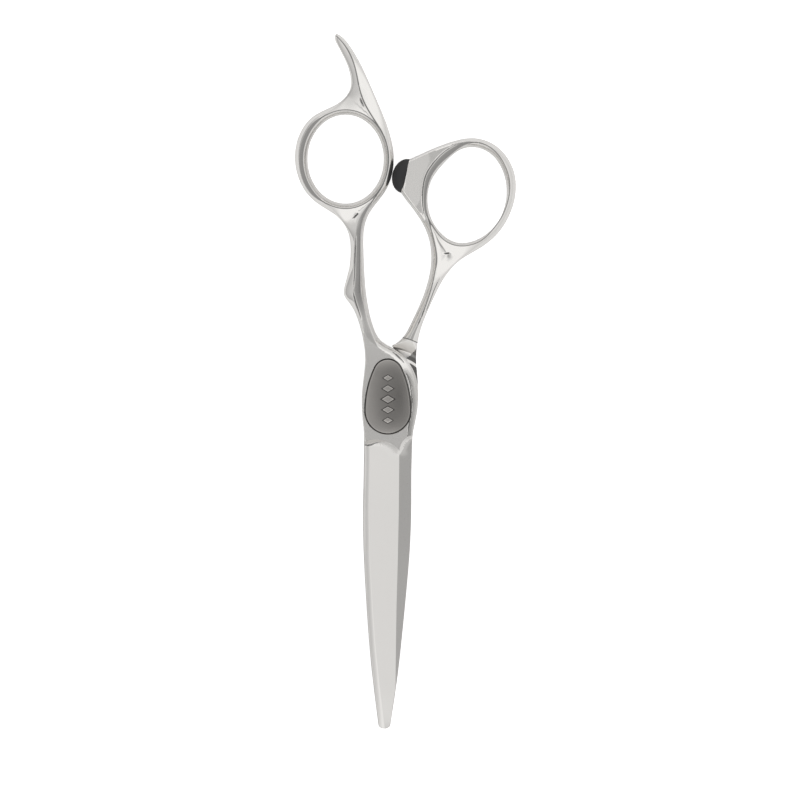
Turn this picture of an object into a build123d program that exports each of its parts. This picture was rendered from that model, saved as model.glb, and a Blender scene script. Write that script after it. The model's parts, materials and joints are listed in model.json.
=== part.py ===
"""Right-handed hair cutting shears with an offset handle, modelled closed.

Frame: the origin is the centre of the tension dial's back face, on the pivot axis. +Z runs along the
pivot axis towards the cover plate, +Y runs from the pivot towards the finger rings, and the blade tips
point along -Y. Millimetres throughout. The finger half carries the ring finger's hole and the finger
rest, and its blade lies on top; the thumb half lies under it and turns about the pivot.
"""

from build123d import *
import os
from math import asin, cos, degrees, hypot, pi, sin, sqrt

# ---------------------------------------------------------------- stack along the pivot axis
BODY_T = 3.2  # thickness of each half where the two cross
DIAL_PROUD = 1.2  # how far the tension dial stands out of the back
MATE = DIAL_PROUD + BODY_T  # height of the plane that the two halves slide on
RIDE_GAP = 0.03  # each half stays this far off that plane
BODY_TOP = MATE + BODY_T

# ---------------------------------------------------------------- handle thickness, from the mate plane
SHANK_HALF_T = 2.3
RING_HALF_T = 2.0
REST_HALF_T = 1.2  # at the tip of the finger rest
HANDLE_REACH = 40  # wider than either handle, to either side
HANDLE_START_Y, HANDLE_START_R = 11, 15.3  # the rounded edges start past both of these
HANDLE_ROUND = 0.8  # radius on the long edges of handles and rings
# (y, height from the mate plane) of a handle's two surfaces: each half is thick on its own side at the body
BODY_SIDE = [(12, BODY_T), (17, 2.95), (23, 2.5), (32, SHANK_HALF_T)]
MATE_SIDE = [(24, SHANK_HALF_T), (32, SHANK_HALF_T)]
REACH = [(59, RING_HALF_T), (74, 1.9), (92, REST_HALF_T)]

# ---------------------------------------------------------------- shoulders that let the halves cross
SHOULDER_R0 = 12.6  # radius about the pivot where the flat ends
SHOULDER_R1 = 16.3  # radius where the shank reaches its full thickness
SHOULDER_RISE = SHANK_HALF_T + RIDE_GAP

# ---------------------------------------------------------------- blade
LIP = 0.12  # thickness left at the cutting edge
BEVEL_W = 1.3  # width of the convex bevel behind the edge
SPINE_PEEK = 0.2  # the lower blade's spine shows this much past the upper blade's edge
EDGE_TUCK = 0.25  # the lower blade's edge hides this far inside the upper blade's spine
# (y, cutting edge x, ridge x, spine x, bevel height, ridge height, spine height), heights from the mate plane
BLADE_STATIONS = [
    (-8, -5.85, 2.70, 5.95, 1.25, 2.80, 2.20),
    (-14, -5.82, 2.63, 5.68, 1.25, 2.75, 2.18),
    (-26, -6.05, 2.54, 5.58, 1.20, 2.60, 2.05),
    (-38, -5.85, 2.30, 5.10, 1.10, 2.40, 1.88),
    (-50, -5.20, 1.97, 4.05, 1.00, 2.12, 1.76),
    (-60, -4.48, 1.82, 3.05, 0.88, 1.85, 1.65),
    (-70, -3.45, 1.70, 1.85, 0.75, 1.48, 1.44),
    (-78, -2.45, 0.53, 0.63, 0.60, 1.10, 1.08),
    (-81, -2.05, 0.08, 0.18, 0.50, 0.95, 0.93),
]
TIP = (-0.88, -80.05)
TIP_R = 1.62
SHOULDER_Y = -14  # the bodies run down to here before the blades are joined on
# shoulder line between body and blade on the finger half: a wide arc, then a pointed arch at the spine
HEEL_EDGE = (-7.5, -10.4)
HEEL_CREST = (-1.8, -9.3)
HEEL_FOOT = (2.7, -11.9)
HEEL_FLANK = (3.6, -9.5)
HEEL_APEX = (5.3, -8.2)
# hollow grind on the inner faces: (y, half width, depth) at heel and tip
HOLLOW = [(-13, 3.9, 0.12), (-76, 0.7, 0.04)]
UPPER_HOLLOW_X = (0, -0.9)
LOWER_HOLLOW_X = (-0.3, -1.1)

# ---------------------------------------------------------------- finger half outline, closed pose
HEEL_LEFT = (-5.83, -10.2)
HEEL_RIGHT = (5.85, -8.6)
FINGER_OUTER = [  # up the left side, round the ring and out to the tip of the finger rest
    HEEL_LEFT,
    (-6.25, -5.2),
    (-6.6, 0),
    (-6.2, 5.5),
    (-5.75, 10.5),
    (-6.3, 15.5),
    (-7.7, 20.6),
    (-9.5, 24.1),
    (-10.85, 26.1),
    (-10.75, 28.6),
    (-9.75, 32.4),
    (-9.3, 36.8),
    (-9.8, 41.2),
    (-12.0, 44.9),
    (-16.0, 47.7),
    (-19.6, 50.6),
    (-22.2, 55.3),
    (-22.95, 60.0),
    (-21.9, 65.4),
    (-18.6, 69.9),
    (-14.6, 72.05),
    (-11.2, 74.05),
    (-9.35, 76.9),
    (-9.35, 79.9),
    (-10.5, 83.5),
    (-12.5, 87.4),
    (-13.2, 89.3),
    (-12.9, 90.35),
]
REST_OUTER = [  # back down the right of the finger rest and ring, then the inside of the shank
    (-12.9, 90.35),
    (-11.7, 89.75),
    (-9.3, 87.05),
    (-6.7, 82.6),
    (-3.6, 75.7),
    (-0.9, 69.3),
    (0.85, 63.6),
    (1.32, 59.5),
    (0.95, 56.2),
    (-0.25, 52.6),
    (-2.6, 49.1),
    (-4.9, 45.8),
    (-6.0, 42.0),
    (-6.1, 37.0),
    (-5.85, 31.0),
    (-5.2, 24.8),
    (-3.75, 18.6),
    (-2.3, 15.6),
    (-0.6, 14.15),
]
FINGER_RIM = [  # edge of the upper half over the lower one, closing in on the pivot as it runs down
    (-0.6, 14.15),
    (1.2, 13.1),
    (3.15, 11.65),
    (4.75, 9.95),
    (5.95, 8.05),
    (6.85, 5.8),
    (7.25, 2.9),
    (7.15, -1.2),
    (6.5, -5.2),
    HEEL_RIGHT,
]
FINGER_HOLE = (-10.5, 59.5, 9.3, 10.85)  # centre x, y and half axes

# ---------------------------------------------------------------- thumb half outline, closed pose
THUMB_OUTER = [  # up the right side and round the ring to the bumper boss
    (5.45, -10.5),
    (6.0, -6.2),
    (6.75, -1.5),
    (7.2, 3.4),
    (7.0, 7.1),
    (6.78, 10.0),
    (7.1, 14.3),
    (8.5, 19.5),
    (11.0, 25.3),
    (14.0, 30.9),
    (17.4, 34.6),
    (22.7, 37.85),
    (26.8, 41.3),
    (29.7, 45.9),
    (31.15, 51.0),
    (30.8, 56.3),
    (28.3, 61.0),
    (24.6, 63.8),
    (20.2, 64.7),
    (15.6, 63.85),
    (10.5, 61.95),
    (5.15, 59.5),
]
BOSS_FACE = ((5.15, 59.5), (3.05, 51.25))
THUMB_INNER = [  # from the boss down the inside of the shank to the crotch
    BOSS_FACE[1],
    (5.2, 48.3),
    (7.9, 44.5),
    (9.85, 40.0),
    (10.45, 35.0),
    (9.65, 29.7),
    (8.0, 24.8),
    (5.7, 19.7),
    (3.65, 16.05),
    (0.9, 13.85),
]
THUMB_NOTCH = (1.45, 12.4)
THUMB_RIM = [  # edge of the lower half, hidden under the upper one
    THUMB_NOTCH,
    (-1.6, 12.1),
    (-4.2, 9.9),
    (-5.7, 6.6),
    (-6.2, 2.5),
    (-6.2, -3.0),
    (-6.02, -10.5),
]
THUMB_HOLE = [
    (20.2, 62.4),
    (25.4, 60.45),
    (28.5, 54.9),
    (28.75, 49.4),
    (26.5, 43.8),
    (22.0, 40.0),
    (16.8, 39.1),
    (12.1, 42.3),
    (9.65, 48.3),
    (10.35, 53.9),
    (14.2, 59.1),
]

# ---------------------------------------------------------------- cover plate: an egg of three arc radii
EGG_CENTRE = (-0.15, -2.2)  # centre of the wide end
EGG_WIDE_R = 5.75
EGG_TOP_R = 3.7
EGG_TOP_Y = 10.65
PLATE_T = 0.95
PLATE_DOME = 0.55
PLATE_GAP = 0.1  # groove between the plate and its seat
PLATE_SEAT = 1.0  # depth of the seat
LOZENGE_Y = 0.7  # middle of the row of raised lozenges
LOZENGE_STEP = 2.6
LOZENGE_W = 1.75  # half width of the middle one
LOZENGE_SHRINK = 0.22  # taken off for each step away from the middle
LOZENGE_RATIO = 0.6
LOZENGE_PROUD = 0.12
PIN_R = 0.6
PIN_L = 1.7
PIN_IN_PLATE = 0.55
PINS = [(-0.15, 7.4), (-0.15, -6.25)]

# ---------------------------------------------------------------- pivot
BOLT_HEAD_R = 4.0
BOLT_HEAD_T = 0.95
BOLT_FLAT = 3.4  # half width across the head's two flats
BOLT_R = 2.5
THREAD_R = 1.98
BOLT_SLOT = (1.0, 6.0, 0.9)
BUSH_R = 3.3
WASHER_R = 4.6
WASHER_SEAT = 0.22
REAR_BORE_R = 4.9
REAR_BORE_DEPTH = 1.7
RACE_RIN, RACE_ROUT, RACE_T = 3.05, 4.75, 0.3
BALL_R = 0.4
BALL_COUNT = 12
BALL_PITCH_R = 3.9
CAGE_RIN, CAGE_ROUT, CAGE_T = 3.15, 4.65, 0.4
DIAL_R = 5.4
DIAL_FLANGE = 1.0
DIAL_HUB_R = 2.95
DIAL_CHAMFER = 0.25
DIAL_NOTCHES = 18
NOTCH_R = 0.45
RUN = 0.02  # radial running clearance
SNUG = 0.01  # radial gap left around pieces that are pressed or glued in
SEAT_GAP = 0.05  # gap around the bolt head and between stacked pieces that only touch under load
KEY_HOLE_R, KEY_HOLE_DEPTH, KEY_HOLE_AT = 0.55, 0.5, 3.5  # two holes for the pin spanner

# ---------------------------------------------------------------- bumper
BUMPER_PROUD = 3.2
BUMPER_HALF_T = 2.05
STUD_R = 1.0
STUD_IN_BOSS = 3.0
STUD_IN_RUBBER = 1.5
STUD_HEAD_R = 1.5
STUD_HEAD_T = 0.5


# ================================================================ helpers
def outline(*stretches):
    """A face from stretches of points: a pair of points is a straight line, more points are a spline."""
    edges = [Line(*s) if len(s) == 2 else Spline(*s) for s in stretches]
    return make_face(Wire(edges))


def tube(r_out, r_in, z0, z1):
    """A ring about the pivot axis between two heights; r_in 0 gives a disc."""
    height = z1 - z0
    ring = Pos(0, 0, z0 + height / 2) * Cylinder(r_out, height)
    if r_in:
        ring -= Pos(0, 0, z0 + height / 2) * Cylinder(r_in, height)
    return ring


def egg(grow, z0, z1):
    """The cover plate's egg, grown outwards by grow, as a prism."""
    cx, cy = EGG_CENTRE
    wide, top = EGG_WIDE_R + grow, EGG_TOP_R + grow
    top_cy = EGG_TOP_Y - EGG_TOP_R
    rise = top_cy - cy
    side = (wide**2 + rise**2 - top**2) / (2 * (wide - top))
    side_cx = side - wide  # the side arcs are centred this far past the axis
    span = side - top
    join = (side * side_cx / span - side_cx, cy + side * rise / span)
    turn = asin(rise / span) / 2
    bulge = (side * cos(turn) - side_cx, cy + side * sin(turn))
    right = ThreePointArc((cx + wide, cy), (cx + bulge[0], bulge[1]), (cx + join[0], join[1]))
    cap = ThreePointArc((cx + join[0], join[1]), (cx, top_cy + top), (cx - join[0], join[1]))
    left = ThreePointArc((cx - join[0], join[1]), (cx - bulge[0], bulge[1]), (cx - wide, cy))
    foot = ThreePointArc((cx - wide, cy), (cx, cy - wide), (cx + wide, cy))
    face = make_face(Wire([right, cap, left, foot]))
    return extrude(Pos(0, 0, z0) * face, z1 - z0)


def surface_line(points):
    """Level from the shoulder to the first (y, z) point, then a smooth curve through the rest."""
    y0, z0 = points[0]
    level = Line((0, SHOULDER_Y, z0), (0, y0, z0))
    (y1, z1), (y2, z2) = points[-2:]
    end_slope = (0, y2 - y1, z2 - z1)
    curve = Spline(*[(0, y, z) for y, z in points], tangents=[(0, 1, 0), end_slope])
    return [level, curve]


def side_profile(top, bottom):
    """A wide prism whose top and bottom follow the given (y, z) points: it gives a handle its thickness."""
    front = Line((0, SHOULDER_Y, top[0][1]), (0, SHOULDER_Y, bottom[0][1]))
    back = Line((0, *top[-1]), (0, *bottom[-1]))
    face = make_face(Wire([*surface_line(top), back, *surface_line(bottom), front]))
    return extrude(Pos(-HANDLE_REACH, 0, 0) * face, 2 * HANDLE_REACH, dir=(1, 0, 0))


def shoulder_cutter(up):
    """Clears the other half's disc: flat to SHOULDER_R0, then a concave sweep out to SHOULDER_R1."""
    run = SHOULDER_R1 - SHOULDER_R0
    arc_r = (run**2 + SHOULDER_RISE**2) / (2 * SHOULDER_RISE)
    mid = asin(run / arc_r) / 2
    z = MATE + (-RIDE_GAP if up else RIDE_GAP)
    sign = 1 if up else -1
    arc = ThreePointArc(
        (SHOULDER_R0, 0, z),
        (SHOULDER_R0 + arc_r * sin(mid), 0, z + sign * arc_r * (1 - cos(mid))),
        (SHOULDER_R1, 0, z + sign * SHOULDER_RISE),
    )
    far = z + sign * (SHOULDER_RISE + 3)
    floor = Line((0, 0, z), (SHOULDER_R0, 0, z))
    rise = Line((SHOULDER_R1, 0, z + sign * SHOULDER_RISE), (SHOULDER_R1, 0, far))
    lid = Line((SHOULDER_R1, 0, far), (0, 0, far))
    axis = Line((0, 0, far), (0, 0, z))
    return revolve(make_face(Wire([floor, arc, rise, lid, axis])), Axis.Z)


def blade(stations, z_sign):
    """One blade lofted through its stations: lip, convex bevel, wide facet, ridge, narrow facet, spine."""
    sections = []
    for y, edge, ridge, spine, bevel_h, ridge_h, spine_h in stations:
        inward = 1 if spine > edge else -1
        shape = [
            (edge, RIDE_GAP),
            (edge, RIDE_GAP + LIP),
            (edge + inward * BEVEL_W / 3, RIDE_GAP + LIP + (bevel_h - LIP) * 0.48),
            (edge + inward * BEVEL_W, bevel_h),
            (ridge, ridge_h),
            (spine, spine_h),
            (spine, RIDE_GAP),
        ]
        points = [(x, y, MATE + z_sign * h) for x, h in shape]
        sections.append(make_face(Polyline(*points, close=True)))
    return loft(sections)


def tip_cutter(tip_x):
    """Everything past the rounded tip."""
    centre_y = TIP[1] + TIP_R
    block = Pos(tip_x, TIP[1] - 1, MATE) * Box(12, 2 * TIP_R + 2, 12)
    return block - Pos(tip_x, centre_y, MATE) * Cylinder(TIP_R, 14)


def hollow_cutter(z_sign, centres):
    """The shallow hollow ground into a blade's inner face, so that only its edge and spine touch."""
    faces = []
    for (y, half, depth), centre in zip(HOLLOW, centres):
        z = MATE + z_sign * RIDE_GAP
        left, right = (centre - half, y, z), (centre + half, y, z)
        arc = ThreePointArc(left, (centre, y, z + z_sign * depth), right)
        faces.append(make_face(Wire([arc, Line(right, left)])))
    return loft(faces)


# ================================================================ the two halves
def handle_profile(flip):
    """Side profile of a handle; flip -1 puts the thick body under the mate plane instead of over it."""
    thick = [(y, MATE + flip * h) for y, h in BODY_SIDE + REACH]
    thin = [(y, MATE - flip * h) for y, h in MATE_SIDE + REACH]
    return side_profile(thick, thin)


def handle_edges(half):
    """The long edges of a handle and its ring."""
    chosen = []
    for edge in half.edges().filter_by(GeomType.BSPLINE):
        points = [edge @ along for along in (0.1, 0.5, 0.9)]
        past_body = all(p.Y > HANDLE_START_Y and hypot(p.X, p.Y) > HANDLE_START_R for p in points)
        if past_body and edge.length > HANDLE_ROUND * 4:
            chosen.append(edge)
    return chosen


def heel_cutter(flip):
    """Ground-away region ahead of the body: its curved end is the shoulder line of the facets."""
    wide = ThreePointArc(HEEL_EDGE, HEEL_CREST, HEEL_FOOT)
    arch = ThreePointArc(HEEL_FOOT, HEEL_FLANK, HEEL_APEX)
    far = SHOULDER_Y - 6
    corners = [HEEL_APEX, (9, HEEL_APEX[1]), (9, far), (HEEL_EDGE[0], far), HEEL_EDGE]
    face = make_face(Wire([wide, arch, *Polyline(*corners).edges()]))
    block = extrude(Pos(0, 0, MATE - 8) * face, 16)
    return block if flip > 0 else mirror(block, Plane.YZ)


def finger_half():
    """Upper half: blade, pivot body, shank, ring finger hole and finger rest in one forging."""
    foot_right, foot_left = (5.6, SHOULDER_Y), (-5.7, SHOULDER_Y)
    foot = [[HEEL_RIGHT, foot_right], [foot_right, foot_left], [foot_left, HEEL_LEFT]]
    plan = outline(FINGER_OUTER, REST_OUTER, FINGER_RIM, *foot)
    slab = extrude(Pos(0, 0, MATE - 4) * plan, 8)
    hole_x, hole_y, hole_rx, hole_ry = FINGER_HOLE
    slab -= extrude(Pos(hole_x, hole_y, MATE - 5) * Ellipse(hole_rx, hole_ry), 10)
    half = slab & handle_profile(1)
    half -= shoulder_cutter(False)
    half -= heel_cutter(1)
    half += blade(BLADE_STATIONS, 1) - tip_cutter(TIP[0])
    half -= hollow_cutter(1, UPPER_HOLLOW_X)
    half -= egg(PLATE_GAP, BODY_TOP - PLATE_SEAT, BODY_TOP + 1)
    half -= bolt_head(SEAT_GAP, HEAD_Z0, BODY_TOP)
    half -= tube(BOLT_R + RUN, 0, MATE - 1, BODY_TOP)
    half -= tube(WASHER_R, 0, MATE - 1, MATE + RIDE_GAP + WASHER_SEAT)
    half -= pins(PIN_R)
    return fillet(handle_edges(half), HANDLE_ROUND)


def lower_stations():
    """The thumb blade mirrors the finger blade, shifted so that the two close on each other."""
    swapped = []
    for y, edge, ridge, spine, bevel_h, ridge_h, spine_h in BLADE_STATIONS:
        low_edge, low_spine = spine - EDGE_TUCK, edge - SPINE_PEEK
        share = (ridge - edge) / (spine - edge)
        low_ridge = low_edge + share * (low_spine - low_edge)
        swapped.append((y, low_edge, low_ridge, low_spine, bevel_h, ridge_h, spine_h))
    return swapped


def boss_frame():
    """Plane on the bumper boss's face: its normal points out of the boss, towards the finger ring."""
    (x0, y0), (x1, y1) = BOSS_FACE
    length = hypot(x1 - x0, y1 - y0)
    normal = ((y1 - y0) / length, -(x1 - x0) / length, 0)
    return Plane(origin=((x0 + x1) / 2, (y0 + y1) / 2, MATE), x_dir=(0, 0, 1), z_dir=normal)


def thumb_half():
    """Lower half: blade, pivot body, shank, thumb ring and the boss that holds the bumper."""
    foot_left, foot_right = (-5.9, SHOULDER_Y), (5.3, SHOULDER_Y)
    foot = [[THUMB_RIM[-1], foot_left], [foot_left, foot_right], [foot_right, THUMB_OUTER[0]]]
    notch = [THUMB_INNER[-1], THUMB_NOTCH]
    plan = outline(THUMB_OUTER, BOSS_FACE, THUMB_INNER, notch, THUMB_RIM, *foot)
    slab = extrude(Pos(0, 0, MATE - 4) * plan, 8)
    hole = make_face(Wire([Spline(*THUMB_HOLE, periodic=True)]))
    slab -= extrude(Pos(0, 0, MATE - 5) * hole, 10)
    half = slab & handle_profile(-1)
    half -= shoulder_cutter(True)
    half -= heel_cutter(-1)
    half += blade(lower_stations(), -1) - tip_cutter(TIP[0] - 0.2)
    half -= hollow_cutter(-1, LOWER_HOLLOW_X)
    half -= tube(WASHER_R, 0, MATE - RIDE_GAP - WASHER_SEAT, MATE + 1)
    half -= tube(BUSH_R, 0, 0, MATE)
    half -= tube(REAR_BORE_R, 0, 0, DIAL_PROUD + REAR_BORE_DEPTH)
    boss = boss_frame()
    half -= boss * Pos(0, 0, -STUD_IN_BOSS / 2) * Cylinder(STUD_R, STUD_IN_BOSS)
    return fillet(handle_edges(half), HANDLE_ROUND)


# ================================================================ pivot hardware
PIN_Z0 = BODY_TOP - PLATE_SEAT + PIN_IN_PLATE - PIN_L
HEAD_Z0 = BODY_TOP - PLATE_SEAT - BOLT_HEAD_T - SEAT_GAP
BUSH_Z0 = DIAL_PROUD + REAR_BORE_DEPTH
RACE_Z0 = BUSH_Z0 - SNUG - RACE_T
BALL_Z = RACE_Z0 - SNUG - BALL_R
OUTER_RACE_Z0 = BALL_Z - BALL_R - SNUG - RACE_T
STEP_Z1 = 1.25  # top of the dial's step, which the spring washer sits on
HUB_Z1 = 2.5
THREAD_Z0 = 0.45
DIAL_FLOOR = 0.35
INSERT_R = 2.5
INSERT_Z0 = 1.9
SPRING_T = 0.1


def bolt_head(grow, z0, z1):
    """A disc with two flats, which keep the bolt from turning in the finger half."""
    head = tube(BOLT_HEAD_R + grow, 0, z0, z1)
    return head & (Pos(0, 0, (z0 + z1) / 2) * Box(2 * (BOLT_FLAT + grow), 20, z1 - z0))


def dome_radius(half_width):
    """Radius of an arc that rises PLATE_DOME over half_width."""
    return (half_width**2 + PLATE_DOME**2) / (2 * PLATE_DOME)


def cover_plate():
    """Egg-shaped plate that hides the bolt, crowned along and across, with a row of raised lozenges."""
    crest = BODY_TOP + PLATE_DOME
    half_l = (EGG_TOP_Y - EGG_CENTRE[1] + EGG_WIDE_R) / 2
    along_r, across_r = dome_radius(half_l) * 0.8, dome_radius(EGG_WIDE_R) * 0.9
    plate = egg(0, BODY_TOP - PLATE_SEAT + RUN, crest)
    plate &= Pos(0, EGG_TOP_Y - half_l, crest - along_r) * Rot(0, 90, 0) * Cylinder(along_r, 30)
    plate &= Pos(EGG_CENTRE[0], 0, crest - across_r) * Rot(90, 0, 0) * Cylinder(across_r, 60)
    for step in range(-2, 3):
        wide = LOZENGE_W - LOZENGE_SHRINK * abs(step)
        tall = LOZENGE_RATIO * wide
        lozenge = make_face(Polyline((-wide, 0), (0, tall), (wide, 0), (0, -tall), close=True))
        at = Pos(EGG_CENTRE[0], LOZENGE_Y + step * LOZENGE_STEP, BODY_TOP)
        plate += extrude(at * lozenge, PLATE_DOME + LOZENGE_PROUD)
    return plate - pins(PIN_R)


def pins(radius):
    """The two pins that hold the cover plate, standing half in it and half in the finger half."""
    return [Pos(x, y, PIN_Z0 + PIN_L / 2) * Cylinder(radius, PIN_L) for x, y in PINS]


def cover_pins():
    return Compound(pins(PIN_R - SNUG))


def pivot_bolt():
    """Headed pivot bolt: its shank carries the bush and its thread carries the dial."""
    shank_z0 = HUB_Z1 + 2 * SEAT_GAP
    bolt = bolt_head(0, HEAD_Z0 + SNUG, HEAD_Z0 + BOLT_HEAD_T)
    bolt += tube(BOLT_R, 0, shank_z0, HEAD_Z0 + BOLT_HEAD_T / 2)
    bolt += tube(THREAD_R, 0, THREAD_Z0, shank_z0 + SEAT_GAP)
    return bolt - Pos(0, 0, HEAD_Z0 + BOLT_HEAD_T) * Box(*BOLT_SLOT)


def glide_washer():
    """Slippery washer let into both halves, which keeps the bodies from rubbing."""
    reach = RIDE_GAP + WASHER_SEAT - SNUG
    return tube(WASHER_R - SEAT_GAP, BOLT_R + 2 * SEAT_GAP, MATE - reach, MATE + reach)


def pivot_bush():
    return tube(BUSH_R - SNUG, BOLT_R + RUN, BUSH_Z0, MATE - RIDE_GAP - WASHER_SEAT)


def race(z0):
    return tube(RACE_ROUT, RACE_RIN, z0, z0 + RACE_T)


def ball_places():
    return PolarLocations(BALL_PITCH_R, BALL_COUNT)


def ball_cage():
    """Flat ring with a pocket for each ball."""
    cage = tube(CAGE_ROUT, CAGE_RIN, BALL_Z - CAGE_T / 2, BALL_Z + CAGE_T / 2)
    pocket = Cylinder(BALL_R + RUN, 2 * CAGE_T)
    return cage - [Pos(0, 0, BALL_Z) * place * pocket for place in ball_places()]


def bearing_balls():
    return Compound([Pos(0, 0, BALL_Z) * place * Sphere(BALL_R) for place in ball_places()])


def spring_washer():
    """Coned disc spring that keeps the two halves pressed together."""
    low, high, rim = STEP_Z1 + SNUG, OUTER_RACE_Z0 - SNUG, RACE_ROUT - SEAT_GAP
    corners = [(RACE_RIN, low), (rim, high - SPRING_T), (rim, high), (RACE_RIN, low + SPRING_T)]
    profile = Polyline(*[(r, 0, z) for r, z in corners], close=True)
    return revolve(make_face(profile), Axis.Z)


def tension_dial():
    """Closed nut that sets the blade tension: notched rim, step and threaded hub."""
    flange = tube(DIAL_R, 0, 0, DIAL_FLANGE)
    dial = chamfer(flange.edges().filter_by(GeomType.CIRCLE), DIAL_CHAMFER)
    dial -= [place * Cylinder(NOTCH_R, 4) for place in PolarLocations(DIAL_R + NOTCH_R / 2, DIAL_NOTCHES)]
    dial -= [place * Cylinder(KEY_HOLE_R, 2 * KEY_HOLE_DEPTH) for place in PolarLocations(KEY_HOLE_AT, 2)]
    dial += tube(RACE_ROUT - SEAT_GAP, 0, DIAL_FLANGE / 2 + KEY_HOLE_DEPTH / 2, STEP_Z1)
    dial += tube(DIAL_HUB_R, 0, DIAL_FLANGE, HUB_Z1)
    dial -= tube(THREAD_R + RUN, 0, DIAL_FLOOR, HUB_Z1 + 1)
    return dial - tube(INSERT_R, 0, INSERT_Z0, HUB_Z1 + 1)


def lock_insert():
    """Nylon ring in the dial's mouth that grips the thread, so that the tension stays as set."""
    return tube(INSERT_R - SNUG, THREAD_R + SNUG, INSERT_Z0, HUB_Z1)


# ================================================================ bumper
def bumper():
    """Rubber stop on the thumb ring: an oval dome that meets the finger ring when the shears close."""
    (x0, y0), (x1, y1) = BOSS_FACE
    half_w = hypot(x1 - x0, y1 - y0) / 2
    ball = scale(Sphere(1), (BUMPER_HALF_T, half_w, BUMPER_PROUD))
    dome = ball & Pos(0, 0, BUMPER_PROUD / 2) * Box(20, 20, BUMPER_PROUD)
    return boss_frame() * dome - bumper_stud()


def bumper_stud():
    """Headed stud moulded into the rubber and driven into the boss."""
    length = STUD_IN_BOSS + STUD_IN_RUBBER
    shank = Pos(0, 0, (STUD_IN_RUBBER - STUD_IN_BOSS) / 2) * Cylinder(STUD_R - SNUG, length)
    head = Pos(0, 0, STUD_IN_RUBBER - STUD_HEAD_T / 2) * Cylinder(STUD_HEAD_R, STUD_HEAD_T)
    return boss_frame() * (shank + head)


PARTS = {
    "finger_half": finger_half,
    "thumb_half": thumb_half,
    "cover_plate": cover_plate,
    "cover_pins": cover_pins,
    "pivot_bolt": pivot_bolt,
    "glide_washer": glide_washer,
    "pivot_bush": pivot_bush,
    "inner_race": lambda: race(RACE_Z0),
    "outer_race": lambda: race(OUTER_RACE_Z0),
    "ball_cage": ball_cage,
    "bearing_balls": bearing_balls,
    "spring_washer": spring_washer,
    "tension_dial": tension_dial,
    "lock_insert": lock_insert,
    "bumper": bumper,
    "bumper_stud": bumper_stud,
}

os.makedirs("parts", exist_ok=True)
for name, build in PARTS.items():
    export_step(build(), f"parts/{name}.step")
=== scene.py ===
"""Hair cutting shears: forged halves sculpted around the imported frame, finished hardware and studio."""
import json
import math
import bmesh
import bpy
import numpy as np
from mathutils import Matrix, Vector, geometry, kdtree


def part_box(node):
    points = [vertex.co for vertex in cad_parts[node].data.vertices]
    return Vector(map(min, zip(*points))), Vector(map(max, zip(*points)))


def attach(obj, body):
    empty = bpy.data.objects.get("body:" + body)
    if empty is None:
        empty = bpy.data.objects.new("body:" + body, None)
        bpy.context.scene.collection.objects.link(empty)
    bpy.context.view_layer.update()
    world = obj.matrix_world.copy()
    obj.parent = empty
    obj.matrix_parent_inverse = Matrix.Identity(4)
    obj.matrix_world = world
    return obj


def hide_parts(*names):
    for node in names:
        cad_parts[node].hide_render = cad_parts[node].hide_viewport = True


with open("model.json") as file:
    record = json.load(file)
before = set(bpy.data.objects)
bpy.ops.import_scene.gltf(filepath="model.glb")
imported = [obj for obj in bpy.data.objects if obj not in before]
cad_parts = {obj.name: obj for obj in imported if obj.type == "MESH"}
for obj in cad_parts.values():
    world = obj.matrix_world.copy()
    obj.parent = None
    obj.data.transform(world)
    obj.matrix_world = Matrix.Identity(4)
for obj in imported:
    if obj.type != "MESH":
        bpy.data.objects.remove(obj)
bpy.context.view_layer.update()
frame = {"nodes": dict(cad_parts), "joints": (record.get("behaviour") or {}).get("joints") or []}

MM = 0.001
SECTION_LIFT = 0.08  # outlines are cut this far into each half from the mate plane
MATE = [j for j in frame["joints"] if j["name"] == "blade_pivot"][0]["pos_m"][2] / MM
RIDE_GAP = 0.03  # each half stays this far off the mate plane
BODY_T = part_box("finger_half")[1].z / MM - MATE  # thickness of a half at the pivot

# ------------------------------------------------------------ mesh density, mm
FINE = 0.05  # sampling of curves for distances
EDGE_STEP = 0.36  # spacing along outlines and feature lines
OFFSETS = [0.015, 0.06, 0.14, 0.26, 0.42, 0.62, 0.88]  # rows of points inside each outline
GRID, BLADE_GRID = 0.5, 1.0
GRID_GAPS = 1.05, 0.4  # how far the two grids stay inside the outline
BLADE_FROM = -12  # the blade's coarser grid starts below this y
BAND_ROWS = -0.1, 0.04, 0.16  # lines along both sides of ridges and flats, from their edge outwards
GROOVE_ROWS = 0, 0.1, 0.22, 0.36
BEVEL_ROWS = 0.12, 0.3, 0.5, 0.75, 1  # shares of the bevel's width

# ------------------------------------------------------------ handle sections
# (y, thickness from the mate plane) on the body's side and on the mate side of each half
BODY_SIDE = [
    (-90, BODY_T), (11, BODY_T), (17, 2.85), (23, 2.42), (32, 2.3), (59, 2.0), (74, 1.85), (92, 1.2),
]
MATE_SIDE = [(-90, 2.3), (32, 2.3), (59, 2.0), (74, 1.85), (92, 1.2)]
# share of the height that is a plain wall, on the body and on the handles
BODY_WALL, HANDLE_WALL = 0.60, 0.10
THUMB_BEVEL = 0.8  # width of the bevel round the thumb half's body
RIM_BEVEL = (0.16, 1.1)  # width of the finger half's bevel on the left, and what it gains on the right
CREASE = 0.42  # how sharply a slope meets the flat on top: 0 is a full round, 1 is a plain bevel
CROWN = 0.07  # how much the flats on the handles are rounded across, per mm
CROWN_FADE = 2.5  # the crown grows to its full size over this distance from the body's flat
SLOPE_LEAN, SLOPE_REACH = 0.1, 2.5  # how much the slopes beside the flats fall away, per mm, and how far
FILLET = 0.25  # rounding where two flats' slopes meet
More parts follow.
